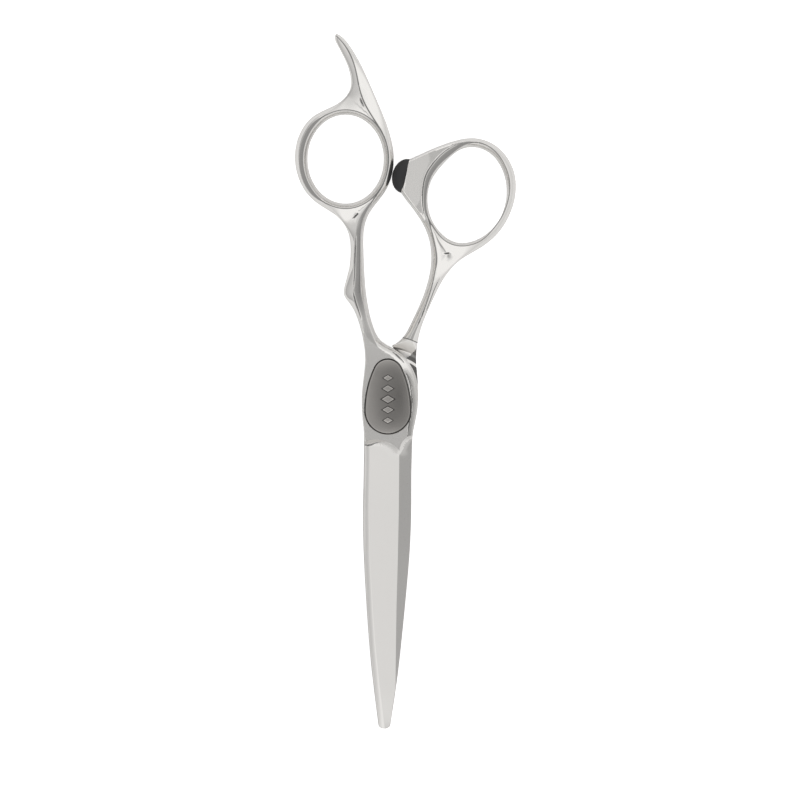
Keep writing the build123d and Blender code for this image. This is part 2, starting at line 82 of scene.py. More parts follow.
# (radius about the pivot, depth below the mate plane) of the mate side: disc, groove, slope up to the shank
SHOULDER = [(0, 0.03), (10.9, 0.03), (11.5, 0.34), (12.5, 0.38), (13.1, 0.20), (16.3, -2.33), (16.4, -9)]
# from the second radius up to the crest, the slope carries a band of painted shade
SHOULDER_CREST, CREST_SHADE, DISC_R = 16.3, 16.05, 10.9
SHOULDER_ROWS = 10.85, DISC_R, 11.5, 11.6, 12.5, 12.9, 13.05, 13.15, CREST_SHADE, SHOULDER_CREST, 16.45
# corners of the areas beside the pivot painted dark as the shade in the gap between the halves and in the
# groove, on the disc and on the slope
DISC_SHADE = np.array([(5.0, 10.5), (8.5, 8.5), (8.5, 0.5), (6.9, 2.2), (6.5, 4.8), (5.6, 7.6)])
SHOULDER_SHADE = np.array([(3.9, 10.7), (5.2, 11.3), (6.1, 12.2), (7.4, 13.9), (7.4, 8.4), (5.5, 9.8)])

# ------------------------------------------------------------ blades
LIP = 0.12  # thickness left at the cutting edge
BEVEL_W = 1.3
BEVEL_BULGE = 0.55
# (y, cutting edge x, ridge x, spine x, bevel height, ridge height, spine height) of the finger half
STATIONS = [
    (-8, -5.85, 2.70, 5.95, 1.25, 2.80, 2.20),
    (-14, -5.82, 2.63, 5.68, 1.25, 2.75, 2.18),
    (-26, -6.05, 2.54, 5.58, 1.20, 2.60, 2.05),
    (-38, -5.85, 2.30, 5.10, 1.10, 2.40, 1.88),
    (-50, -5.20, 1.97, 4.05, 1.00, 2.12, 1.76),
    (-60, -4.48, 1.82, 3.05, 0.88, 1.85, 1.65),
    (-70, -3.45, 1.70, 1.85, 0.75, 1.48, 1.44),
    (-78, -2.45, 0.53, 0.63, 0.60, 1.10, 1.08),
    (-81, -2.05, 0.08, 0.18, 0.50, 0.95, 0.93),
]
SPINE_PEEK = 0.2  # how far the thumb blade's spine stands out past the finger blade's
EDGE_TUCK = 0.25  # how far its edge lies back from the finger blade's
SHOULDER_ARCS = [  # each arc by its ends and a point between, on the finger half
    [(-7.5, -10.4), (-1.8, -9.3), (2.7, -11.9)],
    [(2.7, -11.9), (3.6, -9.5), (5.3, -8.2)],
]
SCOOP = 1.9  # length over which the facets run up to the shoulder
HOLLOW = [(-13, 3.9, 0.12), (-76, 0.7, 0.04)]  # (y, half width, depth) of the inner faces' hollow grind
HOLLOW_RUN_IN = 0.08  # share of the hollow's length over which it starts and ends

# small dishes where the handle's branches meet: x, y, radius, depth
FINGER_DISHES = [(-9.0, 44.4, 2.0, 0.16), (-6.5, 73.4, 1.3, 0.07)]
THUMB_DISHES = [(14.6, 36.4, 1.3, 0.06)]

HANDLE_T = 2.1  # usual thickness of the handles on one side
GROOVE_DEPTH, GROOVE_W = 0.07, 0.16  # depth as a share of the height, and half width, at a depth share of 1
GROOVE_WIDEST = 1.6  # the line of painted shade in a groove widens with its depth share, up to this
# fine grooves left by the forging, each painted dark along its line as shade: x, y, depth share
RIM_LINE = [
    (4.1, 7.4, 0), (4.45, 6.7, 0.7), (5.15, 5.0, 1), (5.5, 3.0, 1.1), (5.68, 1.0, 1.1), (5.62, -1.0, 1.1),
    (5.35, -3.0, 1), (5.1, -5.0, 0.9), (4.8, -7.0, 0.7), (4.75, -8.0, 0),
]
FINGER_GROOVES = [
    [(0.9, 12.35, 0), (1.5, 11.95, 0.8), (2.5, 11.05, 1.2), (3.4, 10.15, 0.8), (4.0, 9.4, 0)],
    [(-8.75, 27.2, 0), (-8.45, 25.8, 0.9), (-7.8, 23.6, 1), (-7.1, 21.6, 0.7), (-6.6, 20.0, 0)],
    [(-5.9, -10.45, 0.7), (-4.9, -10.6, 1.2), (-4.2, -10.45, 1.2), (-3.3, -10.1, 0.7), (-1.6, -9.75, 0)],
    [(-7.95, 41.2, 0), (-8.1, 38.6, 0.8), (-8.25, 35.0, 0.9), (-8.4, 31.0, 0.7), (-8.65, 27.6, 0)],
    [(-7.1, 74.7, 0), (-6.75, 73.9, 1), (-6.4, 73.1, 1), (-6.0, 72.2, 0)],
    [(-8.5, 45.1, 0.8), (-8.15, 45.55, 1.6), (-7.75, 45.95, 1.6), (-7.45, 46.3, 0.8)],
    RIM_LINE,
]
THUMB_GROOVES = [
    [(17.8, 63.6, 0), (14.1, 61.65, 0.6), (10.9, 58.5, 0.9), (9.0, 55.3, 1), (8.35, 51.8, 1),
     (8.3, 48.9, 0.8), (8.8, 46.0, 0.3), (9.2, 45.0, 0)],
    [(12.8, 30.7, 0), (11.5, 28.2, 0.6), (10.4, 25.4, 0.8), (9.5, 23.0, 0.5), (9.0, 21.8, 0)],
    [(9.2, 23.7, 0), (8.7, 22.5, 0.9), (8.2, 21.2, 1), (7.7, 19.8, 0)],
    [(13.7, 36.35, 0.8), (14.1, 36.4, 1.6), (14.6, 36.45, 1.6), (15.05, 36.5, 0.8)],
]

# ------------------------------------------------------------ flats and ridges: x, y, half width
FINGER_SPINE = [
    (-12.75, 89.7, 0.06), (-11.5, 88.4, 0.10), (-9.6, 85.6, 0.14), (-8.3, 82.3, 0.13), (-7.6, 79.2, 0.14),
    (-6.95, 76.2, 0.18), (-5.75, 73.0, 0.22), (-3.5, 69.2, 0.22), (-0.9, 64.6, 0.18), (-0.02, 60.3, 0.12),
    (-0.3, 56.6, 0.12), (-1.5, 53.0, 0.15), (-3.9, 49.3, 0.24), (-6.0, 46.2, 0.42), (-7.1, 43.4, 0.58),
    (-7.45, 40.0, 0.64), (-7.5, 34.0, 0.68), (-7.6, 30.0, 0.80), (-7.65, 26.8, 1.05), (-6.95, 23.6, 1.0),
    (-6.05, 20.4, 0.85), (-5.2, 17.5, 0.95), (-4.4, 14.5, 1.3), (-3.6, 11.5, 1.9),
]
THUMB_SPINE = [
    (9.75, 45.0, 0.2), (10.5, 42.0, 0.16), (11.15, 39.4, 0.14), (11.6, 37.2, 0.14), (11.8, 34.9, 0.15),
    (11.35, 31.8, 0.16), (10.65, 28.5, 0.17), (9.75, 25.5, 0.18), (8.7, 22.5, 0.20), (7.6, 19.8, 0.25),
    (6.4, 17.2, 0.35), (5.4, 14.8, 0.5), (4.4, 12, 0.9),
]

# ------------------------------------------------------------ finishes of the steel, with painted shade and light
# Each area carries one value, from 0 polished to 1 ground, and the value also picks its tone (STEEL_TONES).
# Several values only paint shade or light into that tone: painted shade on ridges, flats, rim, web, scoop
# and narrow facet and along grooves, creases and gaps, painted light on the narrow facet near its heel and
# tip and on the slope beside the pivot.
# 0.372 and 0.4 paint shade: 0.372 on ridges and flats, 0.4, the darkest, along grooves and creases and in
#                            the gaps by the pivot; 0.78 is satin darkened with painted shade at the
#                            shoulder's scoop
WALL, SHADE, RIDGE_SHADE, DEEP_SHADE, BOSS_SATIN, FACE_SATIN, SCOOP_SATIN_SHADE = 0.2, 0.3, 0.372, 0.4, 0.7, 0.75, 0.78
# 0.92 darkens the narrow facet with painted shade; 0.935 paints it lighter near the heel, a painted
# highlight
NARROW_SHADE, NARROW_HEEL_LIGHT, BEVEL, GROUND = 0.92, 0.935, 0.95, 1
STEEL_TONES = [
    (0, 0.75), (SHADE, 0.75), (DEEP_SHADE, 0.2), (0.5, 0.8), (BOSS_SATIN, 0.80), (FACE_SATIN, 0.74), (0.85, 0.42),
    (NARROW_SHADE, 0.42), (BEVEL, 0.79), (GROUND, 0.69),
]
NARROW_TIP_LIGHT = 0.005  # added to the narrow facet's value towards the tip: painted light, a lighter tone there
FLAT_SHADE, RIM_SHADE, LINE_SHADE, WEB_SHADE = 0.04, 0.03, 0.06, 0.035  # added to SHADE
REST_WEB_SHADE = (-9.6, 74.0, 2.6)  # x, y and radius of the painted shade, on slightly rougher steel, between the rest and the ring
FACE_RISE = 0.02  # points up to this far outside the body's flat still get its finish
RIDGE_W = 0.15  # ridges get painted shade this far from their line
HANDLE_FROM = 17  # ridges, flats and the mate side's grooves get painted shade above this y
WIDE_FLAT = 0.27  # half width from which a ridge counts as a flat


# ============================================================ curves
def spline(points, step, closed=False):
    """Rows every step along a smooth curve through the given rows; columns after x and y ride along."""
    rows = np.asarray(points, float)
    wrap = 8 if closed else 0
    if closed:
        rows = np.vstack([rows[-wrap:], rows, rows[: wrap + 1]])
    run = np.hypot(*np.diff(rows[:, :2], axis=0).T)
    at = np.concatenate([[0], np.cumsum(run)])
    count = len(rows)
    system = np.eye(count)
    rhs = np.zeros(rows.shape)
    slope = np.diff(rows, axis=0) / run[:, None]
    for i in range(1, count - 1):
        system[i, i - 1 : i + 2] = run[i - 1], 2 * (run[i - 1] + run[i]), run[i]
        rhs[i] = 6 * (slope[i] - slope[i - 1])
    bend = np.linalg.solve(system, rhs)
    first, last = at[wrap], at[count - 1 - wrap]
    pieces = max(1, round((last - first) / step))
    where = np.linspace(first, last, pieces + 1)
    if closed:
        where = where[:-1]
    k = np.clip(np.searchsorted(at, where, side="right") - 1, 0, count - 2)
    b = ((where - at[k]) / run[k])[:, None]
    a = 1 - b
    sag = ((a**3 - a) * bend[k] + (b**3 - b) * bend[k + 1]) * (run[k] ** 2)[:, None] / 6
    return a * rows[k] + b * rows[k + 1] + sag


def arc(start, mid, end, step):
    """Points every step on the circle through three points."""
    (ax, ay), (bx, by), (cx, cy) = start, mid, end
    d = 2 * (ax * (by - cy) + bx * (cy - ay) + cx * (ay - by))
    sa, sb, sc = ax * ax + ay * ay, bx * bx + by * by, cx * cx + cy * cy
    ox = (sa * (by - cy) + sb * (cy - ay) + sc * (ay - by)) / d
    oy = (sa * (cx - bx) + sb * (ax - cx) + sc * (bx - ax)) / d
    r = math.hypot(ax - ox, ay - oy)
    t0, t1, t2 = (math.atan2(y - oy, x - ox) for x, y in (start, mid, end))
    sweep = (t2 - t0) % (2 * math.pi)
    if (t1 - t0) % (2 * math.pi) > sweep:
        sweep -= 2 * math.pi
    turn = t0 + np.linspace(0, sweep, max(2, round(abs(sweep) * r / step)) + 1)
    return np.column_stack([ox + r * np.cos(turn), oy + r * np.sin(turn)])


def circle(cx, cy, r, step=EDGE_STEP):
    count = max(12, round(2 * math.pi * r / step))
    turn = np.arange(count) * 2 * math.pi / count
    return np.column_stack([cx + r * np.cos(turn), cy + r * np.sin(turn)])


def inside(xy, loop):
    """Which points lie inside a closed loop."""
    result = np.zeros(len(xy), bool)
    x1, y1 = loop.T
    x2, y2 = np.roll(loop, -1, 0).T
    rise = np.where(y2 == y1, 1e-12, y2 - y1)
    for start in range(0, len(xy), 4000):
        part = xy[start : start + 4000]
        px, py = part[:, :1], part[:, 1:]
        crosses = (y1 > py) != (y2 > py)
        left_of = px < (x2 - x1) * (py - y1) / rise + x1
        result[start : start + 4000] = (crosses & left_of).sum(1) % 2 == 1
    return result


class Track:
    """A finely sampled curve that gives the distance from any point and which sample is nearest."""

    def __init__(self, rows, closed):
        self.rows, self.closed = rows, closed
        self.tree = kdtree.KDTree(len(rows))
        for index, row in enumerate(rows):
            self.tree.insert((row[0], row[1], 0), index)
        self.tree.balance()

    def nearest(self, xy):
        find = self.tree.find
        index = np.array([find((x, y, 0))[1] for x, y in xy], int)
        best = np.full(len(xy), np.inf)
        count = len(self.rows)
        for shift in (-1, 0):
            start, end = index + shift, index + shift + 1
            if self.closed:
                start, end = start % count, end % count
            else:
                start, end = np.clip(start, 0, count - 1), np.clip(end, 0, count - 1)
            a, b = self.rows[start, :2], self.rows[end, :2]
            ab = b - a
            share = ((xy - a) * ab).sum(1) / np.maximum((ab * ab).sum(1), 1e-12)
            foot = a + ab * np.clip(share, 0, 1)[:, None]
            best = np.minimum(best, np.hypot(*(xy - foot).T))
        return best, index

    def distance(self, xy):
        return self.nearest(xy)[0]


def eased(table, blur=1.6):
    """A smooth function through (position, value) rows, softened over a few millimetres."""
    at, value = zip(*sorted(table))
    step, reach = 0.25, 24
    grid = np.arange(-95, 96, step)
    raw = np.interp(grid, at, value)
    kernel = np.exp(-((np.arange(-reach, reach + 1) * step / blur) ** 2) / 2)
    padded = np.pad(raw, reach, mode="edge")
    soft = np.convolve(padded, kernel / kernel.sum(), mode="valid")
    return lambda y: np.interp(y, grid, soft)


def smooth_step(value, low, high):
    t = np.clip((value - low) / (high - low), 0, 1)
    return t * t * (3 - 2 * t)


def smooth_min(a, b, k):
    h = np.clip(0.5 + 0.5 * (b - a) / k, 0, 1)
    return b + (a - b) * h - k * h * (1 - h)


# ============================================================ outlines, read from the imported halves
def section_loops(node, height):
    """Closed loops where a level plane cuts a CAD node, in mm, longest first."""
    mesh = bmesh.new()
    mesh.from_mesh(frame["nodes"][node].data)
    bmesh.ops.remove_doubles(mesh, verts=mesh.verts, dist=1e-7)
    cut = bmesh.ops.bisect_plane(
        mesh,
        geom=mesh.verts[:] + mesh.edges[:] + mesh.faces[:],
        plane_co=(0, 0, height * MM),
        plane_no=(0, 0, 1),
        clear_outer=True,
        clear_inner=True,
    )
    links = {}
    for edge in cut["geom_cut"]:
        if isinstance(edge, bmesh.types.BMEdge):
            a, b = edge.verts
            links.setdefault(a, []).append(b)
            links.setdefault(b, []).append(a)
    loops, seen = [], set()
    for start in links:
        loop, current = [], start
        while current is not None:
            seen.add(current)
            loop.append((current.co.x / MM, current.co.y / MM))
            current = next((v for v in links[current] if v not in seen), None)
        if len(loop) > 20:
            loops.append(np.array(loop))
    mesh.free()
    return sorted(loops, key=lambda p: -np.hypot(*(p - np.roll(p, 1, 0)).T).sum())


def turns(loop):
    """Turning angle at each vertex of a loop, degrees."""
    back, ahead = loop - np.roll(loop, 1, 0), np.roll(loop, -1, 0) - loop
    a, b = np.arctan2(back[:, 1], back[:, 0]), np.arctan2(ahead[:, 1], ahead[:, 0])
    return np.abs(np.degrees((b - a + math.pi) % (2 * math.pi) - math.pi))


def clean(loop, closest=0.06):
    """The loop without near-duplicate and in-line vertices, running anticlockwise."""
    area = (loop[:, 0] * np.roll(loop[:, 1], -1) - np.roll(loop[:, 0], -1) * loop[:, 1]).sum()
    loop = loop if area > 0 else loop[::-1]
    kept = [loop[0]]
    for point in loop[1:]:
        if math.dist(point, kept[-1]) > closest:
            kept.append(point)
    loop = np.array(kept)
    return loop[turns(loop) > 0.25]


class Outline:
    """A closed outline: smooth stretches between corners, sampled finely and at the mesh's spacing."""

    def __init__(self, loop, corner=22, soft=None):
        loop = clean(loop)
        sharp = turns(loop) > corner
        if soft is not None:
            sharp &= np.hypot(*(loop - np.array(soft)).T) > 1.0
        corners = np.flatnonzero(sharp)
        if len(corners) == 0:
            self.fine = spline(loop, FINE, closed=True)
            self.coarse = spline(loop, EDGE_STEP, closed=True)
        else:
            fine, coarse = [], []
            loop = np.roll(loop, -corners[0], 0)
            marks = list(corners - corners[0]) + [len(loop)]
            loop = np.vstack([loop, loop[:1]])
            for a, b in zip(marks, marks[1:]):
                stretch = loop[a : b + 1]
                fine.append(spline(stretch, FINE)[:-1])
                coarse.append(spline(stretch, EDGE_STEP)[:-1])
            self.fine, self.coarse = np.vstack(fine), np.vstack(coarse)
        low, high = loop.min(0), loop.max(0)
        self.fine, self.coarse = np.clip(self.fine, low, high), np.clip(self.coarse, low, high)
        self.track = Track(self.fine, closed=True)

    def inset(self, depth):
        """The outline's points moved inwards by depth; negative moves them outwards."""
        along = np.roll(self.coarse, -1, 0) - np.roll(self.coarse, 1, 0)
        along /= np.hypot(*along.T)[:, None]
        return self.coarse + np.column_stack([-along[:, 1], along[:, 0]]) * depth


# ============================================================ one forged half
def blade_sections(y, tuck):
    """Edge, bevel, ridge and spine positions and heights of a blade at the given y, on the finger half."""
    table = np.array(sorted(STATIONS))
    columns = [np.interp(y, table[:, 0], column) for column in table.T[1:]]
    edge, ridge, spine, bevel_h, ridge_h, spine_h = columns
    if tuck:
        edge, spine = edge + EDGE_TUCK, spine + SPINE_PEEK
    return edge, edge + BEVEL_W, ridge, spine, bevel_h, ridge_h, spine_h


class Half:
    """One half: outlines from the CAD section, heights from its ridges and flats, and the mesh of both."""

    def __init__(self, node, up, spine, ring, dishes, grooves):
        self.up, self.dishes = up, dishes
        self.grooves = [Track(spline(groove, FINE), closed=False) for groove in grooves]
        loops = section_loops(node, MATE + SECTION_LIFT * up)
        outer = loops[0]
        tip = outer[np.argmax(outer[:, 1])]
        if up < 0:
            outer = outer[~on_boss_end(outer)]
        self.outer = Outline(outer, soft=tip if up > 0 else None)
        self.hole = Outline(next(p for p in loops[1:] if p[:, 1].min() > 30))
        self.spine = Track(spline(spine, FINE), closed=False)
        self.ring = Track(spline(ring, FINE, closed=True), closed=True)
        self.ring_loop = self.ring.rows[::6, :2]
        self.spine_coarse = spline(spine, EDGE_STEP)
        self.ring_coarse = spline(ring, EDGE_STEP, closed=True)
        heel = np.vstack([arc(*points, FINE) for points in SHOULDER_ARCS])
        heel[:, 0] *= up
        self.heel = Track(heel, closed=False)
        self.thick_out, self.thick_in = eased(BODY_SIDE), eased(MATE_SIDE)

    # ---------------------------------------------------------------- handles and body
    def past_heel(self, xy):
        """Distance past the shoulder line towards the tip; negative on the body."""
        rows = self.heel.rows[np.argsort(self.heel.rows[:, 0])]
        line_y = np.interp(xy[:, 0], rows[:, 0], rows[:, 1])
        d = self.heel.distance(xy)
        return np.where(xy[:, 1] < line_y, d, -d)

    def face_edge(self, xy, d_outer):
        """Signed distance to the flat on the body: negative on it."""
        if self.up < 0:
            return THUMB_BEVEL - d_outer + 9 * smooth_step(xy[:, 1], 10, 15)
        d = FACE.distance(xy)
        signed = np.where(inside(xy, FACE_LOOP), -d, d)
        left, gain = RIM_BEVEL
        bevel = left + gain * smooth_step(xy[:, 0], 1.5, 5)
        return np.maximum(signed, bevel - d_outer)

    def from_flats(self, xy, in_ring):
        """Distance outside the nearest ridge or flat, negative on it, and the square that crowns it."""
        ring_d, index = self.ring.nearest(xy)
        ring_w = self.ring.rows[index, 2]
        spine_d, index = self.spine.nearest(xy)
        spine_w = self.spine.rows[index, 2]
        past_spine = spine_d - spine_w
        past_spine = np.where(in_ring, past_spine + 3, past_spine)
        past = smooth_min(ring_d - ring_w, past_spine, FILLET)
        crown = np.minimum(ring_d, ring_w) ** 2
        crown = np.where(past_spine < past + 0.1, np.minimum(spine_d, spine_w) ** 2, crown)
        return past, crown

    def marks(self, xy, t):
        """Depth of the grooves and the dishes, as a share of the height."""
        depth = np.zeros(len(xy))
        for groove in self.grooves:
            groove_d, at = groove.nearest(xy)
            depth += GROOVE_DEPTH * groove.rows[at, 2] * np.exp(-((groove_d / GROOVE_W) ** 2))
        for x, y, radius, deep in self.dishes:
            away = np.hypot(xy[:, 0] - x, xy[:, 1] - y) / radius
            depth += deep / HANDLE_T * np.exp(-(away**2)) * t
        return depth

    def profile(self, xy, body):
        """How far each point has risen from wall to flat, 0 to 1."""
        d_outer = self.outer.track.distance(xy)
        in_ring = inside(xy, self.ring_loop)
        edge = np.where(in_ring, self.hole.track.distance(xy), d_outer)
        past, crown = self.from_flats(xy, in_ring)
        if self.up < 0:
            boss_d = BOSS_TRACK.distance(xy)
            near = ~in_ring & (boss_d < BOSS_REACH)
            sides = np.minimum(BOSS_SIDES[0].distance(xy[near]), BOSS_SIDES[1].distance(xy[near]))
            edge[near] = np.maximum(sides, edge[near])
            beside = smooth_min(past, BOSS_FLAT.distance(xy), 0.2)
            past = np.where(inside(xy, BOSS_FLAT.rows), np.minimum(past, 0), beside)
        if body:
            face = self.face_edge(xy, d_outer)
            past = np.minimum(past, face)
            crown *= smooth_step(face, 0, CROWN_FADE)
        t = edge / (edge + np.maximum(past, 0) + 1e-9)
        rise = CREASE * t + (1 - CREASE) * np.sqrt(np.maximum(1 - (1 - t) ** 2, 0))
        rise -= SLOPE_LEAN * np.clip(past, 0, SLOPE_REACH) * t + self.marks(xy, t)
        if self.up < 0:
            rise -= BOSS_TILT * np.maximum(BOSS_TILT_REACH - boss_d, 0) * (~in_ring)
        return rise - CROWN * crown / 2

    def handle_out(self, xy):
        wall = HANDLE_WALL + (BODY_WALL - HANDLE_WALL) * (1 - smooth_step(xy[:, 1], 9, 19))
        return self.thick_out(xy[:, 1]) * (wall + (1 - wall) * self.profile(xy, body=True))

    def handle_in(self, xy):
        return self.thick_in(xy[:, 1]) * (HANDLE_WALL + (1 - HANDLE_WALL) * self.profile(xy, body=False))

    # ---------------------------------------------------------------- blade
    def facet(self, xy, which):
        """Height of one blade facet's surface, extended past its ends: 0 bevel, 1 wide, 2 narrow."""
        x, y = xy[:, 0] * self.up, xy[:, 1]
        edge, bevel, ridge, spine, bevel_h, ridge_h, spine_h = blade_sections(y, self.up < 0)
        x0, x1 = ((edge, bevel), (bevel, ridge), (ridge, spine))[which]
        h0, h1 = ((LIP + RIDE_GAP, bevel_h), (bevel_h, ridge_h), (ridge_h, spine_h))[which]
        share = (x - x0) / np.maximum(x1 - x0, 1e-6)
        if which == 0:
            share = np.maximum(share, 0)
            return h0 + (h1 - h0) * ((1 + BEVEL_BULGE) * share - BEVEL_BULGE * share**2)
        return h0 + (h1 - h0) * share

    def blade_facet(self, xy):
        """Which facet each point of a blade lies on."""
        _, bevel, ridge, *_ = blade_sections(xy[:, 1], self.up < 0)
        x = xy[:, 0] * self.up
        return (x > bevel).astype(int) + (x > ridge)

    def blade_out(self, xy):
        which = self.blade_facet(xy)
        heights = np.array([self.facet(xy, f) for f in range(3)])
        return heights[which, np.arange(len(xy))]

    def hollow(self, xy):
        (y0, half0, deep0), (y1, half1, deep1) = HOLLOW
        share = (xy[:, 1] - y0) / (y1 - y0)
        centre = -0.9 * share if self.up > 0 else 0.3 + 0.8 * share
        half = half0 + (half1 - half0) * share
        deep = (deep0 + (deep1 - deep0) * share) * (1 - ((xy[:, 0] - centre) / np.maximum(half, 0.1)) ** 2)
        start, end = smooth_step(share, 0, HOLLOW_RUN_IN), smooth_step(share, 1, 1 - HOLLOW_RUN_IN)
        return np.maximum(deep, 0) * start * end

    # ---------------------------------------------------------------- whole surfaces, from the mate plane
    def out_height(self, xy):
        past = self.past_heel(xy)
        height = np.empty(len(xy))
        body = past <= 0
        height[body] = self.handle_out(xy[body])
        height[~body] = self.ground(xy[~body], self.blade_out(xy[~body]))
        return height

    def ground(self, xy, facets):
        """Height ahead of the shoulder: the facets, running up to the body's surface near its line."""
        past = self.past_heel(xy)
        height = facets.copy()
        near = past < SCOOP
        body = self.handle_out(xy[near])
        height[near] += np.maximum(body - facets[near], 0) * (1 - past[near] / SCOOP) ** 2.4
        return height

    def in_height(self, xy):
        r = np.hypot(*xy.T)
        handle = xy[:, 1] > 6
        height = RIDE_GAP + self.hollow(xy)
        height[handle] = np.interp(r[handle], *zip(*SHOULDER))
        far = handle & (r > 12)
        height[far] = np.maximum(height[far], -self.handle_in(xy[far]))
        return height

    # ---------------------------------------------------------------- mesh
    def chains(self):
        """Lines the mesh follows: outlines, ridges, flats, grooves, shoulder and facets. True marks closed
        ones.
        """
        ring, spine = self.ring_coarse, self.spine_coarse
        lines = [(self.outer.coarse, True), (self.hole.coarse, True)]
        for extra in BAND_ROWS:
            lines += band_sides(ring, True, extra) + band_sides(spine, False, extra)
        if self.up > 0:
            lines.append((spline(FACE_POINTS, EDGE_STEP), False))
        else:
            lines.append((BOSS_FLAT.rows[::6], True))
        for groove in self.grooves:
            middle = groove.rows[::6] * [1, 1, 0]
            for width in GROOVE_ROWS:
                lines += band_sides(middle, False, width)[: 2 if width else 1]
        y = np.arange(-9.0, -81, -1.0)
        edge, bevel, ridge, *_ = blade_sections(y, self.up < 0)
        rows = [edge + (bevel - edge) * share for share in BEVEL_ROWS] + [ridge]
        lines += [(np.column_stack([x * self.up, y]), False) for x in rows]
        for points in SHOULDER_ARCS:
            line = arc(*points, EDGE_STEP)
            line[:, 0] *= self.up
            lines.append((line, False))
        for r in SHOULDER_ROWS:
            turn = np.linspace(0.2, 0.8, 80) * math.pi
            lines.append((np.column_stack([r * np.cos(turn), r * np.sin(turn)]), False))
        return lines

    def free_points(self, lines):
        """Rows just inside the outlines and an even grid, kept clear of the lines."""
        rows = []
        for outline, sign in ((self.outer, 1), (self.hole, -1)):
            for depth in OFFSETS:
                ring = outline.inset(depth * sign)
                ring = ring[ring[:, 1] > BLADE_FROM]
                gap = np.minimum(self.outer.track.distance(ring), self.hole.track.distance(ring))
                rows.append(ring[gap > depth * 0.8])
        low, high = self.outer.fine.min(0), self.outer.fine.max(0)
        grid = hex_grid(low, high, GRID)
        blade = hex_grid(low, high, BLADE_GRID)
        grid = np.vstack([grid[grid[:, 1] > BLADE_FROM], blade[blade[:, 1] <= BLADE_FROM]])
        grid = grid[inside(grid, self.outer.coarse) & ~inside(grid, self.hole.coarse)]
        gap = np.minimum(self.outer.track.distance(grid), self.hole.track.distance(grid))
        free = np.vstack(rows + [grid[gap > np.where(grid[:, 1] > BLADE_FROM, *GRID_GAPS)]])
        free = free[inside(free, self.outer.coarse) & ~inside(free, self.hole.coarse)]
        for line, closed in lines[2:]:
            dense = spline(line, FINE * 2, closed) if len(line) > 3 else line
            gap = Track(dense, closed).distance(free)
            near = np.minimum(0.13, 0.5 * self.outer.track.distance(free) + 0.02)
            free = free[gap > near]
        return free

    def build(self, name, out_pockets, in_pockets, bore):
        """The closed mesh of this half. A pocket is a loop and its floor's height from the mate plane."""
        lines = self.chains() + [(loop, True) for loop, floor in out_pockets + in_pockets] + [(bore, True)]
        holes = [self.hole.coarse, bore]
        points, triangles = triangulate(lines, self.free_points(lines), self.outer.coarse, holes)
        sides = [(self.out_height, out_pockets, 1), (self.in_height, in_pockets, -1)]
        return Shell(points, triangles, sides, MATE, self.up, self.paint).make(name)

    # ---------------------------------------------------------------- finish
    def paint(self, shell, facing, corners, finish_and_painted_light):
        """Finish values of one side, with painted shade along the grooves, and crisp corner normals where
        the outer side has facets.
        """
        grooved = self.in_grooves(shell.middles)
        if facing < 0:
            self.paint_mate_side(shell.middles, finish_and_painted_light)
            # painted shade along the grooves on the handles
            finish_and_painted_light[grooved & (shell.middles[:, 1] > HANDLE_FROM)] = DEEP_SHADE
            return
        self.sharpen(shell, facing, corners)
        self.paint_outer_side(shell.middles, finish_and_painted_light)
        # painted shade along the grooves
        finish_and_painted_light[grooved] = DEEP_SHADE

    def in_grooves(self, middles):
        found = np.zeros(len(middles), bool)
        for groove in self.grooves:
            groove_d, at = groove.nearest(middles)
            found |= groove_d < GROOVE_W * np.minimum(groove.rows[at, 2], GROOVE_WIDEST)
        return found

    def sharpen(self, shell, facing, corners):
        """Corner normals of each blade facet and of the body's edge, so that their lines stay crisp."""
        past = self.past_heel(shell.middles)
        which = self.blade_facet(shell.middles)
        for f in range(3):
            mine = (past > 0) & (which == f)
            xy = shell.points[shell.triangles[mine]].reshape(-1, 2)
            flat = shell.slope_normals(lambda p, f=f: self.ground(p, self.facet(p, f)), xy, facing)
            corners[mine] = flat.reshape(-1, 3, 3)
        body = (past <= 0) & (past > -0.6)
        xy = shell.points[shell.triangles[body]].reshape(-1, 2)
        corners[body] = shell.slope_normals(self.handle_out, xy, facing).reshape(-1, 3, 3)

    def paint_mate_side(self, middles, finish_and_painted_light):
        """Ground blade and disc; on the thumb half also the boss, painted shade in the gap and the groove
        beside the pivot and along the crest, and painted light on the slope towards +X.
        """
        x, y = middles.T
        r = np.hypot(x, y)
        finish_and_painted_light[(y < 6) | (r < SHOULDER_CREST)] = GROUND
        if self.up < 0:
            ring_d, index = self.ring.nearest(middles)
            beyond_ring = (ring_d >= self.ring.rows[index, 2] + 0.05) & ~inside(middles, self.ring_loop)
            finish_and_painted_light[inside(middles, BOSS_FLAT.rows) & beyond_ring] = BOSS_SATIN
            # painted shade on the disc, where the gap between the halves lies in shadow
            finish_and_painted_light[inside(middles, DISC_SHADE) & (r < DISC_R)] = DEEP_SHADE
            # the slope up to the shank: painted light, its tone lighter towards +X
            slope = (y > 8) & (r > 12.9) & (r < CREST_SHADE)
            finish_and_painted_light[slope] = GROUND - 0.05 * smooth_step(middles[slope, :1], 0.5, 3)
            # painted shade in the groove below the slope, which lies in shadow, and in a band along the
            # crest
            finish_and_painted_light[inside(middles, SHOULDER_SHADE) & (r > 11.5)] = DEEP_SHADE
            finish_and_painted_light[(y > 8) & (r > CREST_SHADE) & (r < SHOULDER_CREST)] = DEEP_SHADE
        self.shade_ridges(middles, finish_and_painted_light)

